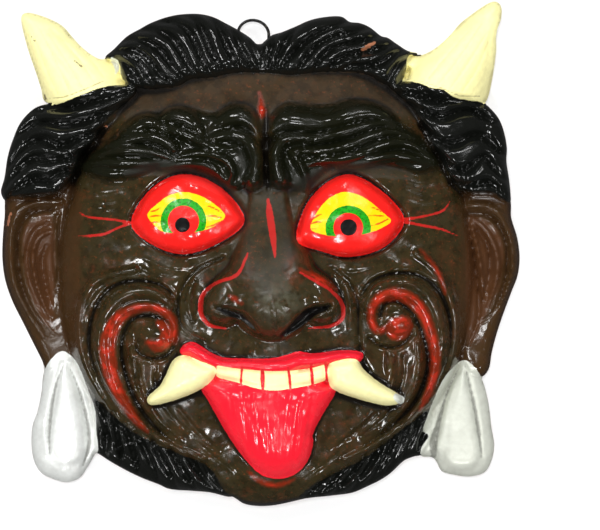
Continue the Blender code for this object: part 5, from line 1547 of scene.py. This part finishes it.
def make_mask():
    mesh = mask_mesh()
    points = np.empty(3 * len(mesh.vertices), np.float32)
    mesh.vertices.foreach_get("co", points)
    points = points.reshape(-1, 3).astype(float)
    # The paint on the walls is that of the edge above them.
    edge = carve(*points[:, :2].T).outside > -NEAR_OUTLINE
    x, y = points[:, :2].T - way_out(*points[:, :2].T, edge) * PAINT_WRAP
    add_fields(mesh, paint_fields(x, y))
    add_bake_map(mesh, points)
    mesh.vertices.foreach_set("co", (points * MM).astype(np.float32).ravel())
    mesh.materials.append(painted_clay())
    mesh.materials.append(bare_clay())
    mesh.shade_smooth()
    mesh.set_sharp_from_angle(angle=math.radians(SHARP_EDGE))
    mask = bpy.data.objects.new("mask", mesh)
    bpy.context.scene.collection.objects.link(mask)
    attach(mask, "root")
    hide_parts("mask_body")
    return mask


# The wire's legs: their straight part below the loop's centre, where their twist ends, its
# turns, and between which shares of the way they close and from where they twist.
LOOP_STRAIGHT = -22.0
TWIST_END = -36.0
TWIST_TURNS = 2.5
CLOSING = (0.08, 0.38)
# The twisted legs' distance from their middle, in wire radii.
TWIST_GAP = 1.02
# How uneven the loop is: its radius as a share, and its height in millimetres.
LOOP_WOBBLE = 0.018
LOOP_WARP = 0.25
LOOP_STEPS = 33
LEG_STEPS = 49


def wire_path():
    """The wire's middle line: up one leg, round the loop, down the other, twisted at the ends."""
    x0, y0 = LOOP_CENTRE
    turn = np.linspace(0, math.pi, LOOP_STEPS)
    radius = LOOP_RADIUS * (1 + LOOP_WOBBLE * np.sin(3 * turn + 0.6))
    arch = np.column_stack([x0 + radius * np.cos(turn), y0 + radius * np.sin(turn),
                            LOOP_HEIGHT + LOOP_WARP * np.sin(2 * turn)])
    closing, closed = CLOSING
    t = np.linspace(0, 1, LEG_STEPS)
    close = ease((t - closing) / (closed - closing))
    gap = LOOP_RADIUS * (1 - close) + WIRE_RADIUS * TWIST_GAP * close
    twist = close * 2 * math.pi * TWIST_TURNS * np.clip((t - closed) / (1 - closed), 0, 1)
    reach = LOOP_STRAIGHT + (TWIST_END - LOOP_STRAIGHT) * t
    sides = []
    for side in (1, -1):
        spin = side * twist
        leg = np.column_stack([x0 + side * gap * np.cos(spin), y0 + reach,
                               LOOP_HEIGHT + gap * np.sin(spin) * close])
        straight = np.column_stack([np.full(4, x0 + side * LOOP_RADIUS),
                                    np.linspace(y0 - 2, y0 + LOOP_STRAIGHT + 1, 4),
                                    np.full(4, LOOP_HEIGHT)])
        sides.append(np.vstack([straight, leg]))
    return np.vstack([sides[0][::-1], arch, sides[1]])


def make_wire():
    curve = bpy.data.curves.new("wire_loop", "CURVE")
    curve.dimensions = "3D"
    curve.bevel_depth = WIRE_RADIUS * MM
    curve.bevel_resolution = 4
    curve.use_fill_caps = True
    path = wire_path()
    line = curve.splines.new("POLY")
    line.points.add(len(path) - 1)
    for point, place in zip(line.points, path):
        point.co = (*(float(number) * MM for number in place), 1)
    curve.materials.append(blackened_wire())
    wire = bpy.data.objects.new("wire_loop", curve)
    bpy.context.scene.collection.objects.link(wire)
    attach(wire, "root")
    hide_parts("hanging_wire")
    return wire


# ---------------------------------------------------------------------------
# Stage, light and camera
# ---------------------------------------------------------------------------

# Radius in metres.
FLOOR_RADIUS = 40.0
FLOOR_PAINT = 0.42
FLOOR_GLOW = 0.56
SKY = 0.07
# Lamps: the way to each and its strength. The first lights the paint and isn't seen in the
# varnish.
LAMPS = (
    ((-0.06, 0.14, 1.0), 1.25),
    ((-0.03, 0.08, 1.0), 0.42),
    ((-0.50, 0.62, 1.0), 0.62),
    ((-0.75, 0.95, 1.0), 0.55),
    ((0.62, 0.80, 1.0), 0.62),
    ((-0.05, -0.72, 1.0), 0.90),
    ((0.80, -0.60, 1.0), 0.42),
    ((-0.85, -0.50, 1.0), 0.42),
    ((0.05, 1.25, 0.8), 0.50),
)
# The lamps' width in degrees.
LAMP_WIDTH = 6.5
# The camera stands this far above the height it looks at: metres, then millimetres.
CAMERA_DISTANCE = 6.0
FOCUS_HEIGHT = 18.0
# The middle and the width of the picture, in millimetres.
VIEW_CENTRE = (20.0, -5.75)
VIEW_WIDTH = 300.0


def make_stage():
    """A glowing floor, which the varnish doesn't show."""
    mesh = bpy.data.meshes.new("floor")
    bm = bmesh.new()
    bmesh.ops.create_circle(bm, cap_ends=True, segments=64, radius=FLOOR_RADIUS)
    bm.to_mesh(mesh)
    bm.free()
    shade, tree, shader = start_material("light_table")
    shader.inputs["Base Color"].default_value = (FLOOR_PAINT, FLOOR_PAINT, FLOOR_PAINT, 1)
    shader.inputs["Emission Color"].default_value = (1, 1, 1, 1)
    shader.inputs["Emission Strength"].default_value = FLOOR_GLOW
    shader.inputs["Roughness"].default_value = 1
    shader.inputs["Specular IOR Level"].default_value = 0
    mesh.materials.append(shade)
    floor = bpy.data.objects.new("floor", mesh)
    bpy.context.scene.collection.objects.link(floor)
    floor.visible_glossy = False


def make_light():
    world = bpy.data.worlds.new("studio")
    world.use_nodes = True
    world.node_tree.nodes["Background"].inputs["Color"].default_value = (SKY, SKY, SKY, 1)
    bpy.context.scene.world = world
    for number, (way, strength) in enumerate(LAMPS):
        lamp = bpy.data.lights.new(f"lamp_{number}", "SUN")
        lamp.energy = strength
        lamp.angle = math.radians(LAMP_WIDTH)
        holder = bpy.data.objects.new(f"lamp_{number}", lamp)
        holder.rotation_mode = "QUATERNION"
        holder.rotation_quaternion = Vector(way).to_track_quat("Z", "Y")
        holder.visible_glossy = number > 0
        bpy.context.scene.collection.objects.link(holder)


def make_camera():
    camera = bpy.data.cameras.new("camera")
    holder = bpy.data.objects.new("camera", camera)
    camera.lens = camera.sensor_width * CAMERA_DISTANCE / (VIEW_WIDTH * MM)
    camera.clip_end = 100
    x, y = VIEW_CENTRE
    holder.location = (x * MM, y * MM, CAMERA_DISTANCE + FOCUS_HEIGHT * MM)
    bpy.context.scene.collection.objects.link(holder)
    bpy.context.scene.camera = holder
    bpy.context.scene.view_settings.view_transform = "Standard"


make_mask()
make_wire()
make_stage()
make_light()
make_camera()
